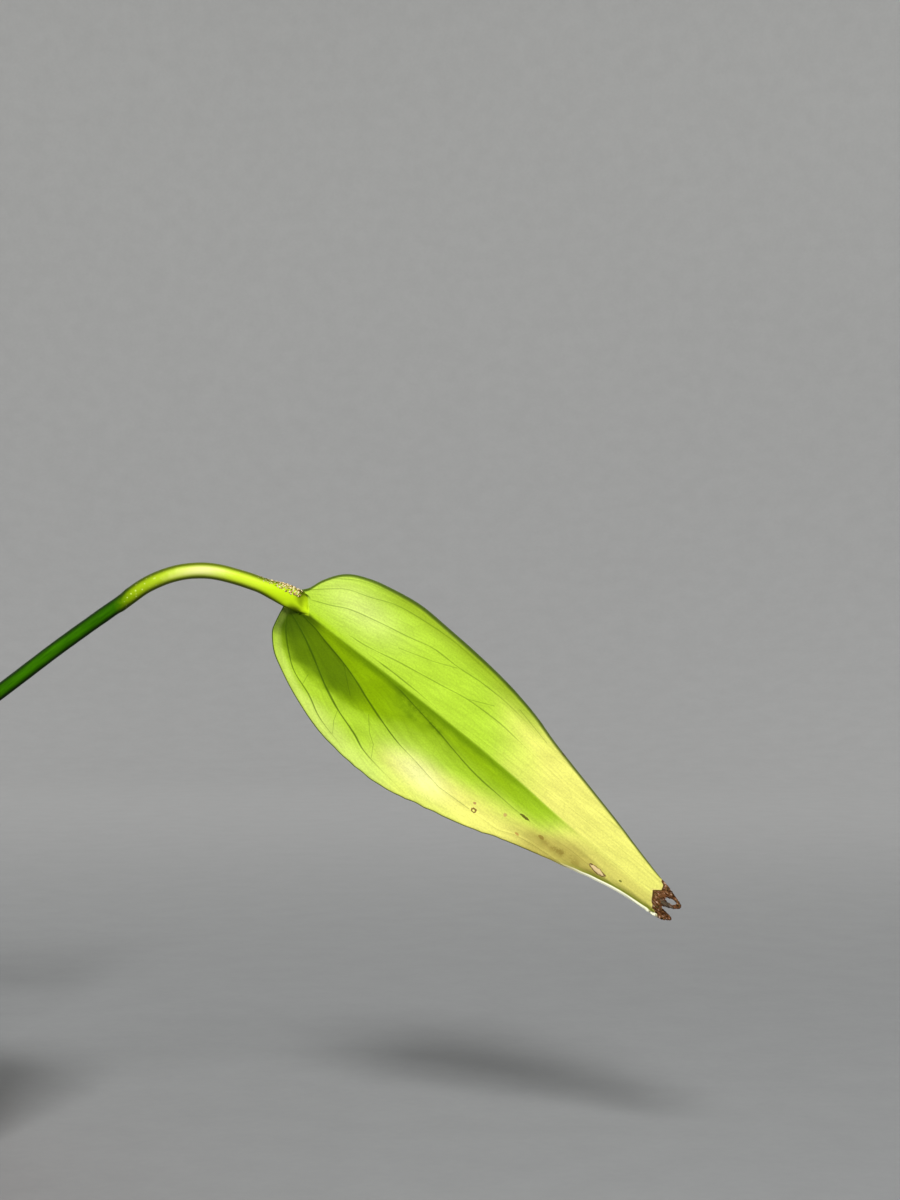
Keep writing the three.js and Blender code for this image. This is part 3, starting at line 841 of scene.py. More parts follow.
def blade_grid(leaf, rows, columns, torn):
    """Places of the blade's two faces, row by row from base to tip, with what the finish
    needs to know at each place."""
    share = np.linspace(0, 1, rows + 1)
    even = np.linspace(-1, 1, 2 * columns + 1)
    lower = (even > 0)[None, :]
    tau = np.abs(even)
    tau = tau - 0.55 * np.sin(2 * math.pi * tau) / (2 * math.pi)
    flat, rib, reach = blade_plan(leaf, share, even, tau, torn)
    s, t = flat[..., 0], flat[..., 1]
    from_rib = tau[None, :] * reach
    from_margin = (1 - tau)[None, :] * reach
    fold_round = 0.04 + (0.55 * step(share, 0.5, 0.85) if torn else 0 * share)[:, None]
    bent = np.sqrt(tau ** 2 + fold_round ** 2) - fold_round
    rise = np.where(lower, long_rise[0], short_rise[0]) * bent
    curl = np.where(lower, long_rise[1], short_rise[1]) * tau ** 2
    swell = np.sin(math.pi * share)[:, None]
    wave = margin_wave * np.sin(margin_wave_rate * s + 2 * np.sign(even)) * tau ** 2 * swell
    arch = (leaf["arch"] * np.sin(math.pi * share) - leaf["droop"] * share ** 2)[:, None]
    flatter = 1 - (0.65 * step(share, 0.55, 0.85) if torn else 0 * share)[:, None]
    height = reach * (rise + curl) * flatter + wave + arch
    vein_mm, phase, vein_dark = veins_of(s, t, rib)
    quilt = np.abs(np.sin(math.pi * phase)) * step(from_rib, 1, 4) * step(from_margin, 0, 3)
    height -= (old_quilting if torn else young_quilting) * quilt
    height += buckling * noise_over(flat, 0.12, 0.16, 2.0) * step(from_rib, 1, 6) * step(s, 2, 12)
    height += np.where(lower, *rolled_edges) * (1 - step(from_margin, 0, 1.3)) ** 2 * step(s, 0, 9)
    if torn:
        height += crumpling * noise_over(flat, 0.9, 0.9, 7.0) * step(s, 140.5, 143)
        crease = step(s, 112, 124) * lower * np.exp(-((from_margin - 1.5) / 0.7) ** 2)
        height += crease_height * crease
    middle = np.dstack([s, t, height])
    normal = np.cross(np.gradient(middle, axis=0), np.gradient(middle, axis=1))
    normal /= np.maximum(np.linalg.norm(normal, axis=2), 1e-9)[..., None]
    rib_width = np.minimum(3 - 2 * share[:, None], reach * 0.5)
    ridge = np.cos(math.pi / 2 * np.minimum(from_rib / np.maximum(rib_width, 0.05), 1)) ** 2
    at_base = np.exp(-np.maximum(rib[:, :1], 0) / 6)
    rib_rise = rib_height * (1 - share[:, None]) + rib_base_height * at_base
    vein_ridge = vein_height * np.exp(-(vein_mm / 0.3) ** 2) * step(from_rib, 0.5, 3)
    bead = bead_height * np.exp(-((from_margin - 0.45) / 0.3) ** 2)
    half = blade_thickness / 2 * (edge_thickness + (1 - edge_thickness) * step(from_margin, 0, 0.9))
    under = middle - normal * (half + rib_rise * ridge + vein_ridge + bead)[..., None]
    groove = groove_depth * np.exp(-(from_rib / 0.7) ** 2) * (1 - share[:, None])
    upper = middle + normal * (half - groove - 0.8 * vein_ridge)[..., None]
    return {"under": under, "upper": upper, "s": s, "t": t, "below": t - np.interp(s, *rib.T),
            "vein_mm": vein_mm, "vein_phase": phase, "vein_dark": vein_dark,
            "from_margin": from_margin, "from_rib": from_rib}


def blade_piece(leaf, grid, name, tints, window=None):
    """A grid sheet, extruded to a closed blade, with its finish's values on its points."""
    rows, columns = grid["s"].shape[0] - 1, grid["s"].shape[1] - 1
    sheet = bmesh.new()
    bmesh.ops.create_grid(sheet, x_segments=rows, y_segments=columns, size=0.5)
    row_of = sheet.verts.layers.int.new("row")
    column_of = sheet.verts.layers.int.new("column")
    upper_side = sheet.verts.layers.float.new("upper_side")
    for vertex in sheet.verts:
        vertex[row_of] = round((vertex.co.x + 0.5) * rows)
        vertex[column_of] = round((vertex.co.y + 0.5) * columns)
    if window is not None:
        inside = window(grid["s"], grid["t"])
        holes = [f for f in sheet.faces if all(inside[v[row_of], v[column_of]] for v in f.verts)]
        bmesh.ops.delete(sheet, geom=holes, context="FACES")
    grown = bmesh.ops.extrude_face_region(sheet, geom=list(sheet.faces), use_keep_orig=True)
    for item in grown["geom"]:
        if isinstance(item, bmesh.types.BMVert):
            item[upper_side] = 1.0
    world = blade_frame(leaf)
    for vertex in sheet.verts:
        face = "upper" if vertex[upper_side] else "under"
        vertex.co = (world @ Vector(grid[face][vertex[row_of], vertex[column_of]])) * MM
    bmesh.ops.remove_doubles(sheet, verts=sheet.verts, dist=2e-6)
    bmesh.ops.recalc_face_normals(sheet, faces=sheet.faces)
    blade = piece_of(sheet, name)
    at_row, at_column = (np.array([item.value for item in blade.data.attributes[key].data])
                         for key in ("row", "column"))
    values = {key: grid[key] for key in ("vein_mm", "vein_phase", "vein_dark", "from_margin", "from_rib")}
    for key, value in {**values, **tints}.items():
        attribute = blade.data.attributes.new(key, "FLOAT", "POINT")
        attribute.data.foreach_set("value", value[at_row, at_column].astype(np.float32))
    place = np.dstack([grid["s"], grid["t"], 0 * grid["s"]])[at_row, at_column] * stored_mm
    attribute = blade.data.attributes.new("leaf_place", "FLOAT_VECTOR", "POINT")
    attribute.data.foreach_set("vector", place.astype(np.float32).ravel())
    return blade


# The stalk's flat end on the blade's underside, in mm
end_length = 12
end_reach = 9
end_slope = 0.32
ridge_height = 1.7
ridge_half_width = 3
least_cover = 0.08
sunk_depth = 0.2
back_depth = 0.1


def distance_past(line, s, t):
    """How far a place on the blade lies to the right of a line, in mm."""
    (s_start, t_start), (s_end, t_end) = line
    across = (s - s_start) * (t_end - t_start) - (t - t_start) * (s_end - s_start)
    return across / math.hypot(s_end - s_start, t_end - t_start)


def lay_end_on(stalk, leaf, grid):
    """Shapes the stalk's flat end as a ridge on the blade's underside, closes the room
    behind it, and sinks it into the blade past the edges of the wedge."""
    near = (grid["s"] < end_reach) & (np.abs(grid["t"]) < end_reach)
    seen = grid["under"][near]
    from_blade = Matrix.Scale(MM, 4) @ blade_frame(leaf)
    to_blade = from_blade.inverted()
    shown = stalk.data.attributes["grain"].data
    length = max(item.vector[2] for item in shown)
    for vertex, item in zip(stalk.data.vertices, shown):
        if item.vector[2] < length - end_length * MM:
            continue
        place = to_blade @ vertex.co
        off = np.hypot(seen[:, 0] - place.x, seen[:, 1] - place.y) + 0.3
        skin = np.average(seen[:, 2], weights=off ** -4)
        past_end, past_fold = (distance_past(line, place.x, place.y) for line in (wedge_end, wedge_fold))
        past_top = step(wedge_top - place.y, -0.3, 0.5) * step(place.x, -3.6, -2)
        sunk = max(step(place.x, 2.6, 3.7), step(past_end, -0.5, 0.5), step(past_fold, -0.5, 0.5),
                   past_top)
        off_rib = abs(place.y - rib_entry[1])
        ridge = math.cos(math.pi / 2 * min(off_rib / ridge_half_width, 1)) ** 2
        free = end_slope * off_rib - 0.4 - ridge_height * (1 - step(past_end, -4.4, -0.4)) * ridge
        free = min(free, skin - least_cover)
        front = free + (skin + sunk_depth - free) * sunk
        front_lift = (front - place.z) * max(step(place.x, -4, 1), past_top)
        back_lift = (skin + back_depth + 0.3 * sunk - place.z) * step(place.x, -4.5, -2.5)
        back = step(item.vector[0] / math.hypot(item.vector[0], item.vector[1]), 0, 0.7)
        place.z += front_lift + (back_lift - front_lift) * back
        vertex.co = from_blade @ place


def old_tints(grid):
    """Where the oldest leaf is yellow, still green, pale, tan or dead, and where shade is painted on it,
    from 0 to 1. Bounds are in mm along the blade (s), across it (t) and from the midrib or the margin."""
    s, t, below, margin = grid["s"], grid["t"], grid["below"], grid["from_margin"]
    drift = noise_over(np.dstack([s, t]), 0.05, 0.11, 11)
    fine = noise_over(np.dstack([s, t]), 0.25, 0.7, 17)
    under, over = step(below, -0.4, 0.6), 1 - step(below, -0.4, 0.6)
    third = smooth_function(veins_below[1][0], s)
    green_to = np.interp(s, (0, 10, 20, 28, 35, 42, 50, 60, 70, 80, 90, 100, 108, 118),
                         (12, 15.5, 17, 17.5, 16, 13.5, 11, 9.6, 9.8, 9.6, 8.6, 6.6, 4, 0))
    dark_to = np.interp(s, (0, 5, 8, 11, 15, 18, 22, 27, 31, 35, 38, 42),
                        (11, 13.3, 13.8, 13.8, 14, 14.3, 15, 15, 14.5, 12.5, 10, 7))
    rim_width = over * np.interp(s, (-4, 8, 20, 45, 90, 130), (0.95, 1.05, 1.2, 1.25, 1, 0.8)) + 0.3 * under
    branch = smooth_function(veins_below[0][0], s)
    tan_from = np.interp(s, (84, 100, 112, 120, 136), (9, 7, 4, 2.5, 3.5))
    return {
        "yellow": over * step(s - 0.6 * below + 7 * drift, 68, 100)
        + under * np.maximum(
            step(0.6 * s + 3 * below + 9 * drift, 66, 98) * step(s, 40, 56)
            * (1 - 0.35 * step(below, 19, 25)),
            step(s + 1.5 * below + 9 * drift, 98, 126)),
        # The green and dark areas are partly the leaf's own green and partly painted shade on the lower
        # lobe, which is turned down.
        "green": under * (1 - step(t + 2 * drift + fine, green_to - 4, green_to + 2.4))
        * (1 - 0.12 * step(s, 35, 50)) * (1 - 0.5 * step(s, 50, 62) * step(below, 3, 7))
        * (1 - 0.8 * step(s, 78, 116)),
        "dark": under * (1 - step(t + 2 * drift + fine, dark_to - 2.2, dark_to + 2.4))
        * np.maximum(step(t - third, -1, 0.6), 1 - step(s, 5, 12)) * (1 - step(s, 22, 42)),
        # Painted shade in a strip just below the midrib's fold.
        "painted_fold_shade": under * (1 - step(below + 0.6 * fine, 0.8, 3.4)) * step(s, 2, 28)
        * (1 - step(s, 66, 112)),
        "spots": np.clip(np.exp(-((s - 44) / 6) ** 2 - ((t - 2.8) / 1.8) ** 2)
                         + 0.8 * np.exp(-((s - 47) / 7) ** 2 - ((t - 6) / 1.6) ** 2)
                         + under * np.exp(-((s - 55) / 9) ** 2 - ((t - branch) / 1.1) ** 2), 0, 1),
        "root_shade": under * (1 - step(s, -1, 10)) * (1 - step(t, 8, 13)),
        "pale": over * np.exp(-((s - 15) / 14) ** 2 - ((t + 10) / 6) ** 2),
        "glow": under * np.exp(-((s - 61) / 10.5) ** 2 - ((t - 18.6) / 4.3) ** 2),
        "ribbon": over * (1 - step(-below, 0.3, 1.8)) * step(s, 1, 5) * (1 - step(s, 8, 28)),
        # Painted shade along the upper margin, where it curls away.
        "edge": over * (1 - step(margin, 1, 7)) * step(s, 12, 26) * (1 - step(s, 72, 98)),
        "strip": under * (1 - step(margin, 1.8, 3.6 + 5 * step(s, 14, 28))) * (1 - step(s, 48, 62))
        * (0.2 + 0.4 * step(s, -3, 7) + 0.4 * step(s, 8, 26)),
        "tan": under * np.maximum(
            step(s, 88, 104) * (1 - 0.6 * step(s, 122, 136)) * step(t + 3 * drift - tan_from, 0, 5),
            0.55 * step(s, 106, 118) * step(t, 0.5, 4)),
        "flecks": np.exp(-((s - 110) / 9) ** 2 - ((t - 9.6 + 0.09 * (s - 110)) / 1.5) ** 2),
        # Where the gutter's painted shade and the edge's painted highlight lie.
        "groove": under * step(s, 109, 123),
        "rim": (1 - step(margin, 0.6 * rim_width, 1.25 * rim_width)) * (1 - under * step(s, 100, 112)),
        "past_living": s - np.interp(t, (-3, -2.6, -1, 0.7, 3.4, 5, 6),
                                     (139.4, 140.6, 141.2, 139.1, 140.8, 142.4, 145.2)),
    }


def young_tints(grid):
    """A younger leaf is only a little lighter in places, most of all near its base."""
    drift = noise_over(np.dstack([grid["s"], grid["t"]]), 0.06, 0.1, 23)
    lighter = 0.5 * step(drift, -0.3, 0.5) + 0.4 * (1 - step(grid["s"], 0, 30))
    return {"yellow": lighter, "rim": 1 - step(grid["from_margin"], 0.2, 0.4)}


def window_in_tip(s, t):
    """The slit that is torn out of the dead tip."""
    return np.abs(t + 0.05 + 0.13 * (s - 146)) < 1.0 - ((s - 145.6) / 3.1) ** 2


def vein_group():
    """Main veins as thin lines, the finer ones between them as streaks and a net, and a height."""
    inputs = {"Leaf place": "Vector", "Vein mm": "Float", "Vein phase": "Float", "Half width mm": "Float"}
    tree, given, wanted = new_group("leaf_veins", inputs,
                                    {"Lines": "Float", "Net": "Float", "Height": "Float"})
    place, off, phase, half_width = given[0], given[1], given[2], given[3]
    shaky = noise_of(tree, place, 9.0, 4.0)
    width = times(tree, half_width, ramp_of(tree, shaky, 0.3, 0.7, 0.6, 1.3))
    lines = ramp_of(tree, math_of(tree, "DIVIDE", math_of(tree, "ABSOLUTE", off), width), 1.5, 0.4)
    flow = math_of(tree, "ADD", times(tree, phase, 6.0), times(tree, shaky, 3.2))
    ripple = math_of(tree, "ABSOLUTE", math_of(tree, "SINE", times(tree, flow, math.pi)))
    streaks = times(tree, ramp_of(tree, ripple, 0.3, 0.0), ramp_of(tree, shaky, 0.45, 0.62))
    cells = add(tree, "ShaderNodeTexVoronoi", {"Vector": stretched(tree, place, (0.35, 1, 1)),
                                               "Scale": 34.0}, feature="DISTANCE_TO_EDGE")
    net = ramp_of(tree, cells.outputs[0], 0.07, 0.0)
    both = math_of(tree, "MAXIMUM", times(tree, net, 0.5), streaks)
    height = math_of(tree, "ADD", lines, times(tree, both, 0.15))
    for index, result in enumerate((lines, both, height)):
        tree.links.new(result, wanted[index])
    return tree


def short_vein_group():
    """A thin line from one place on the blade to another."""
    inputs = {"Leaf place": "Vector", "Start": "Vector", "Run": "Vector", "Half width": "Float"}
    tree, given, wanted = new_group("short_vein", inputs, {"Line": "Float"})
    place, start, run, half_width = given[0], given[1], given[2], given[3]

    def vector_of(operation, *vectors):
        return add(tree, "ShaderNodeVectorMath", dict(enumerate(vectors)), operation=operation).outputs

    from_start = vector_of("SUBTRACT", place, start)[0]
    share = math_of(tree, "DIVIDE", vector_of("DOT_PRODUCT", from_start, run)["Value"],
                    vector_of("DOT_PRODUCT", run, run)["Value"])
    nearest = add(tree, "ShaderNodeVectorMath",
                  {0: run, "Scale": add(tree, "ShaderNodeClamp", {0: share}).outputs[0]}, operation="SCALE")
    off = vector_of("SUBTRACT", from_start, nearest.outputs[0])[0]
    away = math_of(tree, "DIVIDE", vector_of("LENGTH", off)["Value"], half_width)
    tree.links.new(ramp_of(tree, away, 1.5, 0.3), wanted[0])
    return tree


leaf_veins = vein_group()
short_vein = short_vein_group()


def spot_mask(tree, place, centre, size, ragged, hollow):
    """A spot at a place on the blade in mm, as a disc or as a ring."""
    centre_back = (-centre[0] * stored_mm, -centre[1] * stored_mm, 0)
    shift = add(tree, "ShaderNodeVectorMath", {0: place, 1: centre_back}, operation="ADD").outputs[0]
    shaped = shaded(tree, shift, (1 / (size[0] * stored_mm), 1 / (size[1] * stored_mm), 0))
    away = add(tree, "ShaderNodeVectorMath", {0: shaped}, operation="LENGTH").outputs["Value"]
    away = math_of(tree, "ADD", away, ragged)
    mask = ramp_of(tree, away, 1.1, 0.9)
    if hollow:
        mask = times(tree, mask, ramp_of(tree, away, hollow - 0.1, hollow + 0.08))
    return mask


# Marks on the oldest leaf: place in mm, size, colour, strength, and how hollow a ring is
old_marks = [
    ((81.3, 16.6), (0.95, 0.8), (112, 62, 30), 0.9, 0.45),
    ((80.2, 14.7), (0.5, 0.4), (178, 120, 84), 0.8, 0),
    ((89.7, 11.5), (0.55, 0.5), (196, 150, 96), 0.7, 0),
    ((94.8, 8.2), (1.9, 0.42), (84, 74, 20), 0.9, 0),
    ((96.2, 13.8), (0.7, 0.36), (176, 112, 56), 0.7, 0),
    ((102.6, 9.8), (1.1, 0.5), (132, 104, 30), 0.7, 0),
    ((122.1, 6.8), (3, 0.72), (240, 206, 164), 0.7, 0),
    ((122.1, 6.8), (3.1, 0.82), (84, 42, 14), 0.95, 0.8),
    ((129.7, 4.9), (0.5, 0.3), (92, 96, 26), 0.9, 0),
    ((92.4, -14.4), (0.9, 0.4), (64, 52, 20), 0.9, 0),
]


# Areas on the oldest leaf's underside and how strong each is, in the order of laying them. The fold, root
# and upper margin shades are painted shade, and the green and dark areas are partly painted shade.
old_areas = {"green": 1.0, "dark": 0.88, "painted_fold_shade": 0.75, "spots": 0.6, "root_shade": 0.85, "pale": 0.85,
             "glow": 1.0, "ribbon": 0.7, "edge": 0.8, "strip": 0.9, "tan": 0.92, "flecks": 0.75}
short_vein_half_width = 0.12
short_vein_strength = 0.4


def veins_on(tree, place):
    """Lines of the main veins, the finer ones, their relief, and how dark the lines are."""
    vein_dark = value_of(tree, "vein_dark")
    half_width = math_of(tree, "ADD", times(tree, times(tree, vein_dark, vein_dark), 0.17), 0.1)
    feeds = {0: place, 1: value_of(tree, "vein_mm"), 2: value_of(tree, "vein_phase"), 3: half_width}
    group = add(tree, "ShaderNodeGroup", feeds, node_tree=leaf_veins)
    return (*group.outputs, vein_dark)


def with_short_veins(tree, place, lines):
    """The main veins' lines with the short ones added."""
    for start, end in short_veins:
        from_place = (start[0] * stored_mm, start[1] * stored_mm, 0)
        run = ((end[0] - start[0]) * stored_mm, (end[1] - start[1]) * stored_mm, 0)
        feeds = {0: place, 1: from_place, 2: run, 3: short_vein_half_width * stored_mm}
        line = add(tree, "ShaderNodeGroup", feeds, node_tree=short_vein).outputs[0]
        lines = math_of(tree, "MAXIMUM", lines, times(tree, line, short_vein_strength))
    return lines


def old_underside(tree, below, colours, mottle):
    """The oldest leaf's areas of colour, painted shade among them, laid over each other."""
    blotchy = ramp_of(tree, mottle, 0.44, 0.56, 0.25, 1.0)
    for key, strength in old_areas.items():
        share = times(tree, value_of(tree, key), strength)
        if key in ("spots", "flecks"):
            share = times(tree, share, blotchy)
        below = blend_of(tree, share, below, colours[key])
    return below


def wedge_mask(tree, place):
    """Where the end of the knuckle runs out on the blade."""
    beyond = math_of(tree, "MAXIMUM", past_line(tree, place, wedge_end), past_line(tree, place, wedge_fold))
    above = ramp_of(tree, parts_of(tree, place)[1], (wedge_top + 0.3) * stored_mm,
                    (wedge_top - 0.3) * stored_mm)
    return math_of(tree, "SUBTRACT", 1.0, math_of(tree, "MAXIMUM", beyond, above))


def upper_skin(tree, colours, lines, net):
    """The blade's upper side, with light veins and a light midrib."""
    top = blend_of(tree, value_of(tree, "yellow"), colours["top"], colours["top_yellow"])
    rib = ramp_of(tree, value_of(tree, "from_rib"), 1.1, 0.3)
    for mask, strength in ((lines, 0.5), (net, 0.14), (rib, 0.6)):
        top = blend_of(tree, times(tree, mask, strength), top, colours["top_line"])
    return top


def streaky_shade(tree, place, grain):
    """A factor for fine grain and for streaks that run along with the veins."""
    run = times(tree, parts_of(tree, place)[0], 0.08)
    beside = times(tree, value_of(tree, "vein_phase"), 0.06)
    with_veins = add(tree, "ShaderNodeCombineXYZ", {0: run, 1: beside}).outputs[0]
    streaks = ramp_of(tree, noise_of(tree, with_veins, 110.0, 3.0), 0.36, 0.64, 0.94, 1.05)
    return times(tree, ramp_of(tree, grain, 0.36, 0.64, 0.945, 1.045), streaks)


def old_margin(tree, skin):
    """Painted shade in the gutter and a painted highlight on the edge, along the end of the oldest leaf's
    long margin.
    """
    margin, groove = value_of(tree, "from_margin"), value_of(tree, "groove")
    painted_gutter_shade = times(tree, times(tree, band_of(tree, margin, (2.3, 1.1), (0.65, 0.9)), groove), 0.9)
    skin = blend_of(tree, painted_gutter_shade, skin, tone(92, 102, 14))
    painted_edge_light = times(tree, ramp_of(tree, margin, 0.85, 0.65), groove)
    return blend_of(tree, painted_edge_light, skin, tone(255, 255, 226))


def dead_tip(tree, place, skin, ragged):
    """The brown dry tip: fibrous, with a dark membrane, and scorched and burnt at its start."""
    dead = value_of(tree, "past_living")
    strands = add(tree, "ShaderNodeMapping", {"Vector": place, "Scale": (0.35, 1, 1),
                                              "Rotation": (0, 0, 0.35)}).outputs[0]
    fibres = noise_of(tree, strands, 280.0, 4.0)
    brown = blend_of(tree, ramp_of(tree, fibres, 0.36, 0.58), tone(54, 30, 15), tone(128, 80, 50))
    brown = blend_of(tree, ramp_of(tree, fibres, 0.58, 0.68), brown, tone(214, 182, 160))
    membrane = spot_mask(tree, place, (145.4, 1.6), (2.6, 0.8), ragged, 0)
    brown = blend_of(tree, times(tree, membrane, 0.8), brown, tone(70, 60, 56))
    scorched = times(tree, ramp_of(tree, dead, -1.2, -0.2), 0.4)
    skin = blend_of(tree, scorched, skin, tone(238, 214, 132))
    skin = blend_of(tree, ramp_of(tree, dead, -0.1, 0.1), skin, brown)
    burnt = band_of(tree, dead, (-0.2, 0.0), (0.7, 0.4))
    return blend_of(tree, times(tree, burnt, 0.7), skin, tone(74, 40, 16))


def blade_finish(name, colours, marks, shine, roughness):
    """Leaf skin: paler and duller below, darker and glossier above, with veins."""
    material, tree, shader = finish_of(name, Specular_IOR_Level=shine)
    shader.inputs["Specular Tint"].default_value = (0.9, 1, 0.3, 1)
    place = value_of(tree, "leaf_place", "Vector")
    lines, net, raised, vein_dark = veins_on(tree, place)
    mottle, grain = uneven(tree, place, 170.0)
    dark_lines = times(tree, lines, times(tree, vein_dark, 0.8))
    below = blend_of(tree, value_of(tree, "yellow"), colours["lime"], colours["yellow"])
    if marks:
        below = old_underside(tree, below, colours, mottle)
        dark_lines = with_short_veins(tree, place, dark_lines)
    below = blend_of(tree, dark_lines, below, colours["line"])
    below = blend_of(tree, times(tree, net, 0.13), below, colours["line"])
    if marks:
        below = blend_of(tree, wedge_mask(tree, place), below, colours["wedge"])
    above = ramp_of(tree, value_of(tree, "upper_side"), 0.45, 0.55)
    skin = blend_of(tree, above, below, upper_skin(tree, colours, lines, net))
    skin = shaded(tree, skin, streaky_shade(tree, place, grain))
    skin = blend_of(tree, times(tree, value_of(tree, "rim"), 0.92), skin, colours["rim"])
    if marks:
        skin = old_margin(tree, skin)
        ragged = ragged_of(tree, place, 120.0, 0.9)
        for centre, size, colour, strength, hollow in marks:
            mask = spot_mask(tree, place, centre, size, ragged, hollow)
            skin = blend_of(tree, times(tree, mask, strength), skin, tone(*colour))
        skin = dead_tip(tree, place, skin, ragged)
    tree.links.new(skin, shader.inputs["Base Color"])
    tree.links.new(ramp_of(tree, above, 0.0, 1.0, *roughness), shader.inputs["Roughness"])
    relief = math_of(tree, "ADD", raised, times(tree, grain, 0.5))
    bump_of(tree, shader, relief, 0.35, 0.12 * MM)
    return material


# Tones of those areas; the fold, root and upper margin shades are painted shade.
old_colours = {
    "lime": tone(184, 221, 54), "yellow": tone(242, 239, 120), "green": tone(150, 189, 0),
    "dark": tone(90, 122, 0), "painted_fold_shade": tone(104, 142, 0), "spots": tone(88, 124, 0),
    "root_shade": tone(68, 98, 2), "pale": tone(224, 244, 130), "glow": tone(252, 253, 164),
    "edge": tone(146, 174, 24), "strip": tone(214, 236, 112), "tan": tone(188, 174, 84),
    "flecks": tone(128, 104, 34), "ribbon": tone(178, 220, 20), "line": tone(56, 90, 0),
    "rim": tone(52, 74, 12), "wedge": tone(210, 244, 34), "top": tone(86, 132, 30),
    "top_yellow": tone(226, 216, 84), "top_line": tone(150, 178, 70),
}
young_colours = {
    "lime": tone(118, 160, 64), "yellow": tone(146, 186, 84), "line": tone(76, 114, 38),
    "rim": tone(96, 118, 52), "top": tone(40, 84, 24), "top_yellow": tone(66, 118, 36),
    "top_line": tone(112, 156, 66),
}
old_leaf_finish = blade_finish("old_leaf_skin", old_colours, old_marks, 0.3, (0.5, 0.38))
young_leaf_finish = blade_finish("young_leaf_skin", young_colours, [], 0.42, (0.5, 0.34))

for number, leaf in enumerate(leaves, 1):
    if number == 1:
        grid = blade_grid(leaf, 260, 70, True)
        blade = blade_piece(leaf, grid, "blade_of_leaf_1", old_tints(grid), window_in_tip)
        blade.data.materials.append(old_leaf_finish)
    else:
        grid = blade_grid(leaf, 130, 36, False)
        blade = blade_piece(leaf, grid, f"blade_of_leaf_{number}", young_tints(grid))
        blade.data.materials.append(young_leaf_finish)
    lay_end_on(stalks[number - 1], leaf, grid)
    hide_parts(f"leaf_blade_{number}")
    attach(blade, "root")


# Corky scar
# Dry corky grains on the skin of the oldest leaf's stalk, along its upper edge and
# thickest just before the blade, where the skin was rubbed open and has healed.
scar_reach = (-30, -2.4)
scar_depth = 1.3
scar_width = 1.2
scar_drift = 0.3
scar_grain_count = 420
skin_points = []
scarred = stalks[0].data
for vertex, item, shown in zip(scarred.vertices, scarred.attributes["leaf_place"].data,
                               scarred.attributes["grain"].data):
    along_blade = item.vector[0] / stored_mm
    across, over = shown.vector[0] / MM, shown.vector[1] / MM
    if scar_reach[0] < along_blade < scar_reach[1] and over > scar_depth and across < scar_width:
        skin_points.append((along_blade, vertex.co.copy(), vertex.normal.copy()))
skin_points.sort(key=lambda point: point[0])
scar_grains = bmesh.new()
for _ in range(scar_grain_count):
    share = scatter.random() ** 0.18
    _, skin_place, outwards = skin_points[int(share * len(skin_points))]
    drift = Vector([scatter.uniform(-scar_drift, scar_drift) * MM for _ in range(3)])
    size = scatter.uniform(0.12, 0.34) * (0.35 + 0.65 * step(share, 0.45, 0.8)) * MM
    at = Matrix.Translation(skin_place + drift - outwards * (drift.dot(outwards) + 0.2 * size))
    shape = Matrix.Diagonal((1, scatter.uniform(0.5, 1), scatter.uniform(0.5, 1), 1))
    spin = Matrix.Rotation(scatter.uniform(0, math.tau), 4, (1, 1, 0.5))
    bmesh.ops.create_icosphere(scar_grains, subdivisions=1, radius=size, matrix=at @ spin @ shape)
scar = piece_of(scar_grains, "corky_scar", smooth=False)
scar_finish, tree, shader = finish_of("corky_scar", Roughness=0.9)
where = place_of(tree)
cork_noise = noise_of(tree, where, 1300.0, 2.0)
cork = blend_of(tree, ramp_of(tree, cork_noise, 0.4, 0.43), tone(84, 66, 20), tone(206, 166, 92))
cork = blend_of(tree, ramp_of(tree, cork_noise, 0.49, 0.53), cork, tone(250, 236, 180))
tree.links.new(cork, shader.inputs["Base Color"])
scar.data.materials.append(scar_finish)
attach(scar, "root")


# New leaf
# The next blade, still rolled round itself into a slim pale spear, with the free edge
# winding up it as a fine step.
new_leaf_route = [(-14.5, 1, 144), (-17, 4, 175), (-19, 9, 214), (-19, 14, 248)]
new_leaf_radius = 3.3
new_leaf_overlap = 0.16


def new_leaf_radius_at(share, across, over):
    """Radius of the rolled leaf, in mm, with the step of its free edge."""
    belly = 0.55 + 0.45 * math.sin(math.pi * min(1, share * 1.25))
    point = max(0.03, 1 - ((share - 0.6) / 0.4) ** 1.6) if share > 0.6 else 1
    turn = math.atan2(over, across) / math.tau + 0.7 * share + 1
    return new_leaf_radius * min(belly, 1) * point * (1 + new_leaf_overlap * (turn % 1))


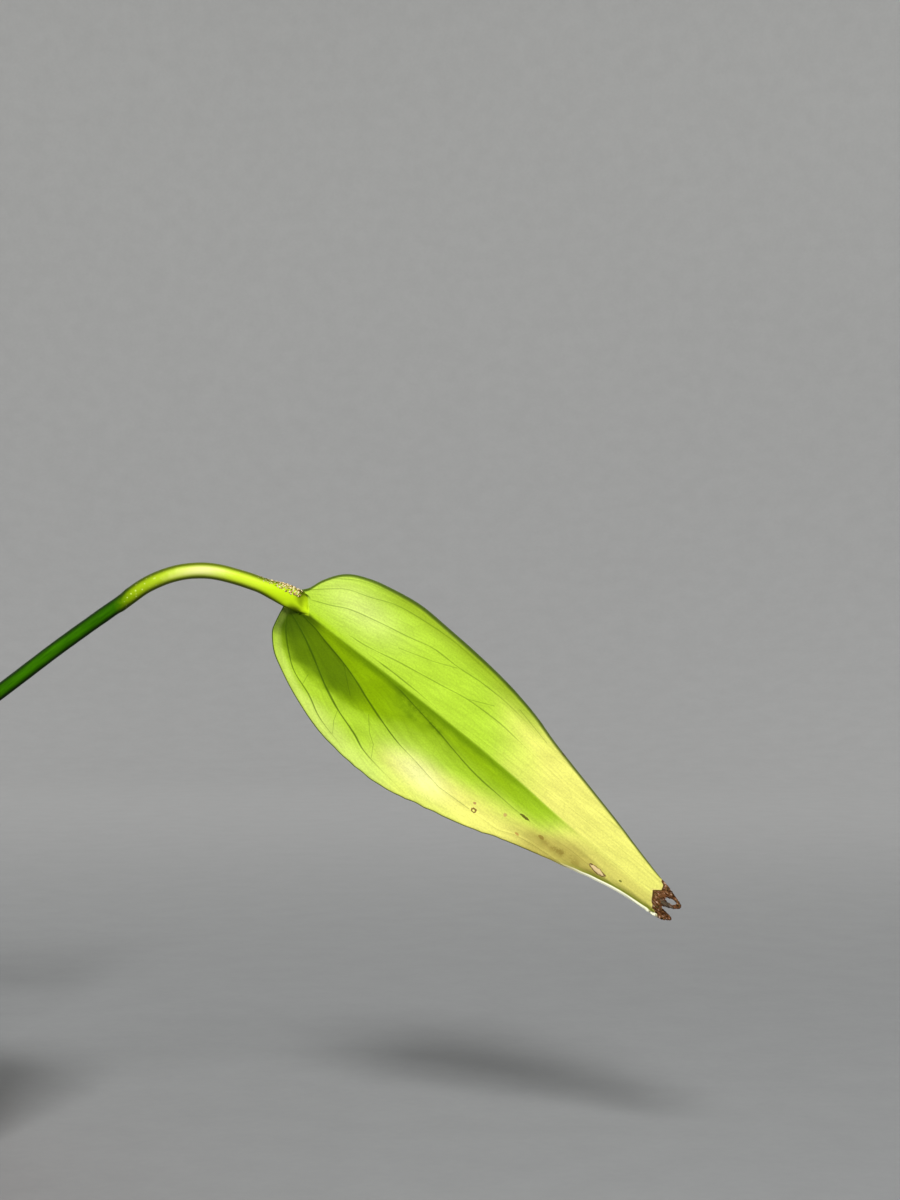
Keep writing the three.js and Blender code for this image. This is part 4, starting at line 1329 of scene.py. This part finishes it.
new_leaf = piece_of(rod(new_leaf_route, (0, 1, 0), new_leaf_radius_at, 200, 60), "rolled_new_leaf")
new_leaf_finish, tree, shader = finish_of("new_leaf_skin", Roughness=0.35)
place = value_of(tree, "grain", "Vector")
mottle, grain = uneven(tree, stretched(tree, place, (1, 1, 0.08)), 1800.0)
up = parts_of(tree, place)[2]
skin = blend_of(tree, ramp_of(tree, mottle, 0.3, 0.7), tone(132, 176, 66), tone(158, 198, 84))
skin = blend_of(tree, ramp_of(tree, up, 80 * MM, 106 * MM), skin, tone(176, 206, 96))
tree.links.new(skin, shader.inputs["Base Color"])
bump_of(tree, shader, grain, 0.2, 0.15 * MM)
new_leaf.data.materials.append(new_leaf_finish)
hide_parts("new_leaf")
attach(new_leaf, "root")


# Stage
# A pale floor that curves up all round into a plain pale backdrop, well clear of the
# plant, with one soft light high behind the camera and two weak ones behind the plant. The floor is painted
# darker at the front and paler towards the back and up the backdrop, as painted light that evens out how
# the lamps fall on it.
floor_radius = 1.5
cove_radius = 1.2
backdrop_height = 2.8
stage_profile = [(0, 0), (0.4, 0), (0.9, 0)]
stage_profile += arc((floor_radius, cove_radius), cove_radius, -90, 0, 24)
stage_profile += [(floor_radius + cove_radius, backdrop_height)]
stage_shape = turned(stage_profile, 96)
stage = piece_of(stage_shape, "studio_floor")
stage_finish, tree, shader = finish_of("pale_floor", Roughness=0.8, Specular_IOR_Level=0.2)
where = place_of(tree)
mottle, grain = uneven(tree, where, 260.0)
_, back, up = parts_of(tree, where)
# Painted light: darker at the front, paler at the back and up the backdrop.
floor_paint_with_painted_light = blend_of(tree, ramp_of(tree, back, 0.2, 1.5), tone(148, 149, 149), tone(194, 194, 193))
floor_paint_with_painted_light = blend_of(tree, ramp_of(tree, up, 0.05, 1.0), floor_paint_with_painted_light, tone(206, 206, 204))
floor_paint_with_painted_light = shaded(tree, floor_paint_with_painted_light, ramp_of(tree, mottle, 0.2, 0.8, 0.96, 1.03))
tree.links.new(floor_paint_with_painted_light, shader.inputs["Base Color"])
stage.data.materials.append(stage_finish)


def soft_light(name, place, target, size, power):
    """A square lamp that points at a target."""
    lamp = bpy.data.lights.new(name, "AREA")
    lamp.size = size
    lamp.energy = power
    holder = bpy.data.objects.new(name, lamp)
    holder.location = place
    holder.rotation_euler = (Vector(target) - Vector(place)).to_track_quat("-Z", "Y").to_euler()
    bpy.context.scene.collection.objects.link(holder)


soft_light("key_light", (0.05, -1.9, 1.75), (0.15, 0, 0.15), 0.6, 56)
soft_light("back_light_left", (-1.2, 1.1, 1.3), (0, 0, 0.15), 1.0, 4.3)
soft_light("back_light_right", (1.2, 1, 1.3), (0.1, 0, 0.15), 1.0, 3.5)

world = bpy.data.worlds.new("studio_air")
world.use_nodes = True
world.node_tree.nodes["Background"].inputs["Color"].default_value = (0.97, 0.98, 1, 1)
world.node_tree.nodes["Background"].inputs["Strength"].default_value = 0.36
bpy.context.scene.world = world
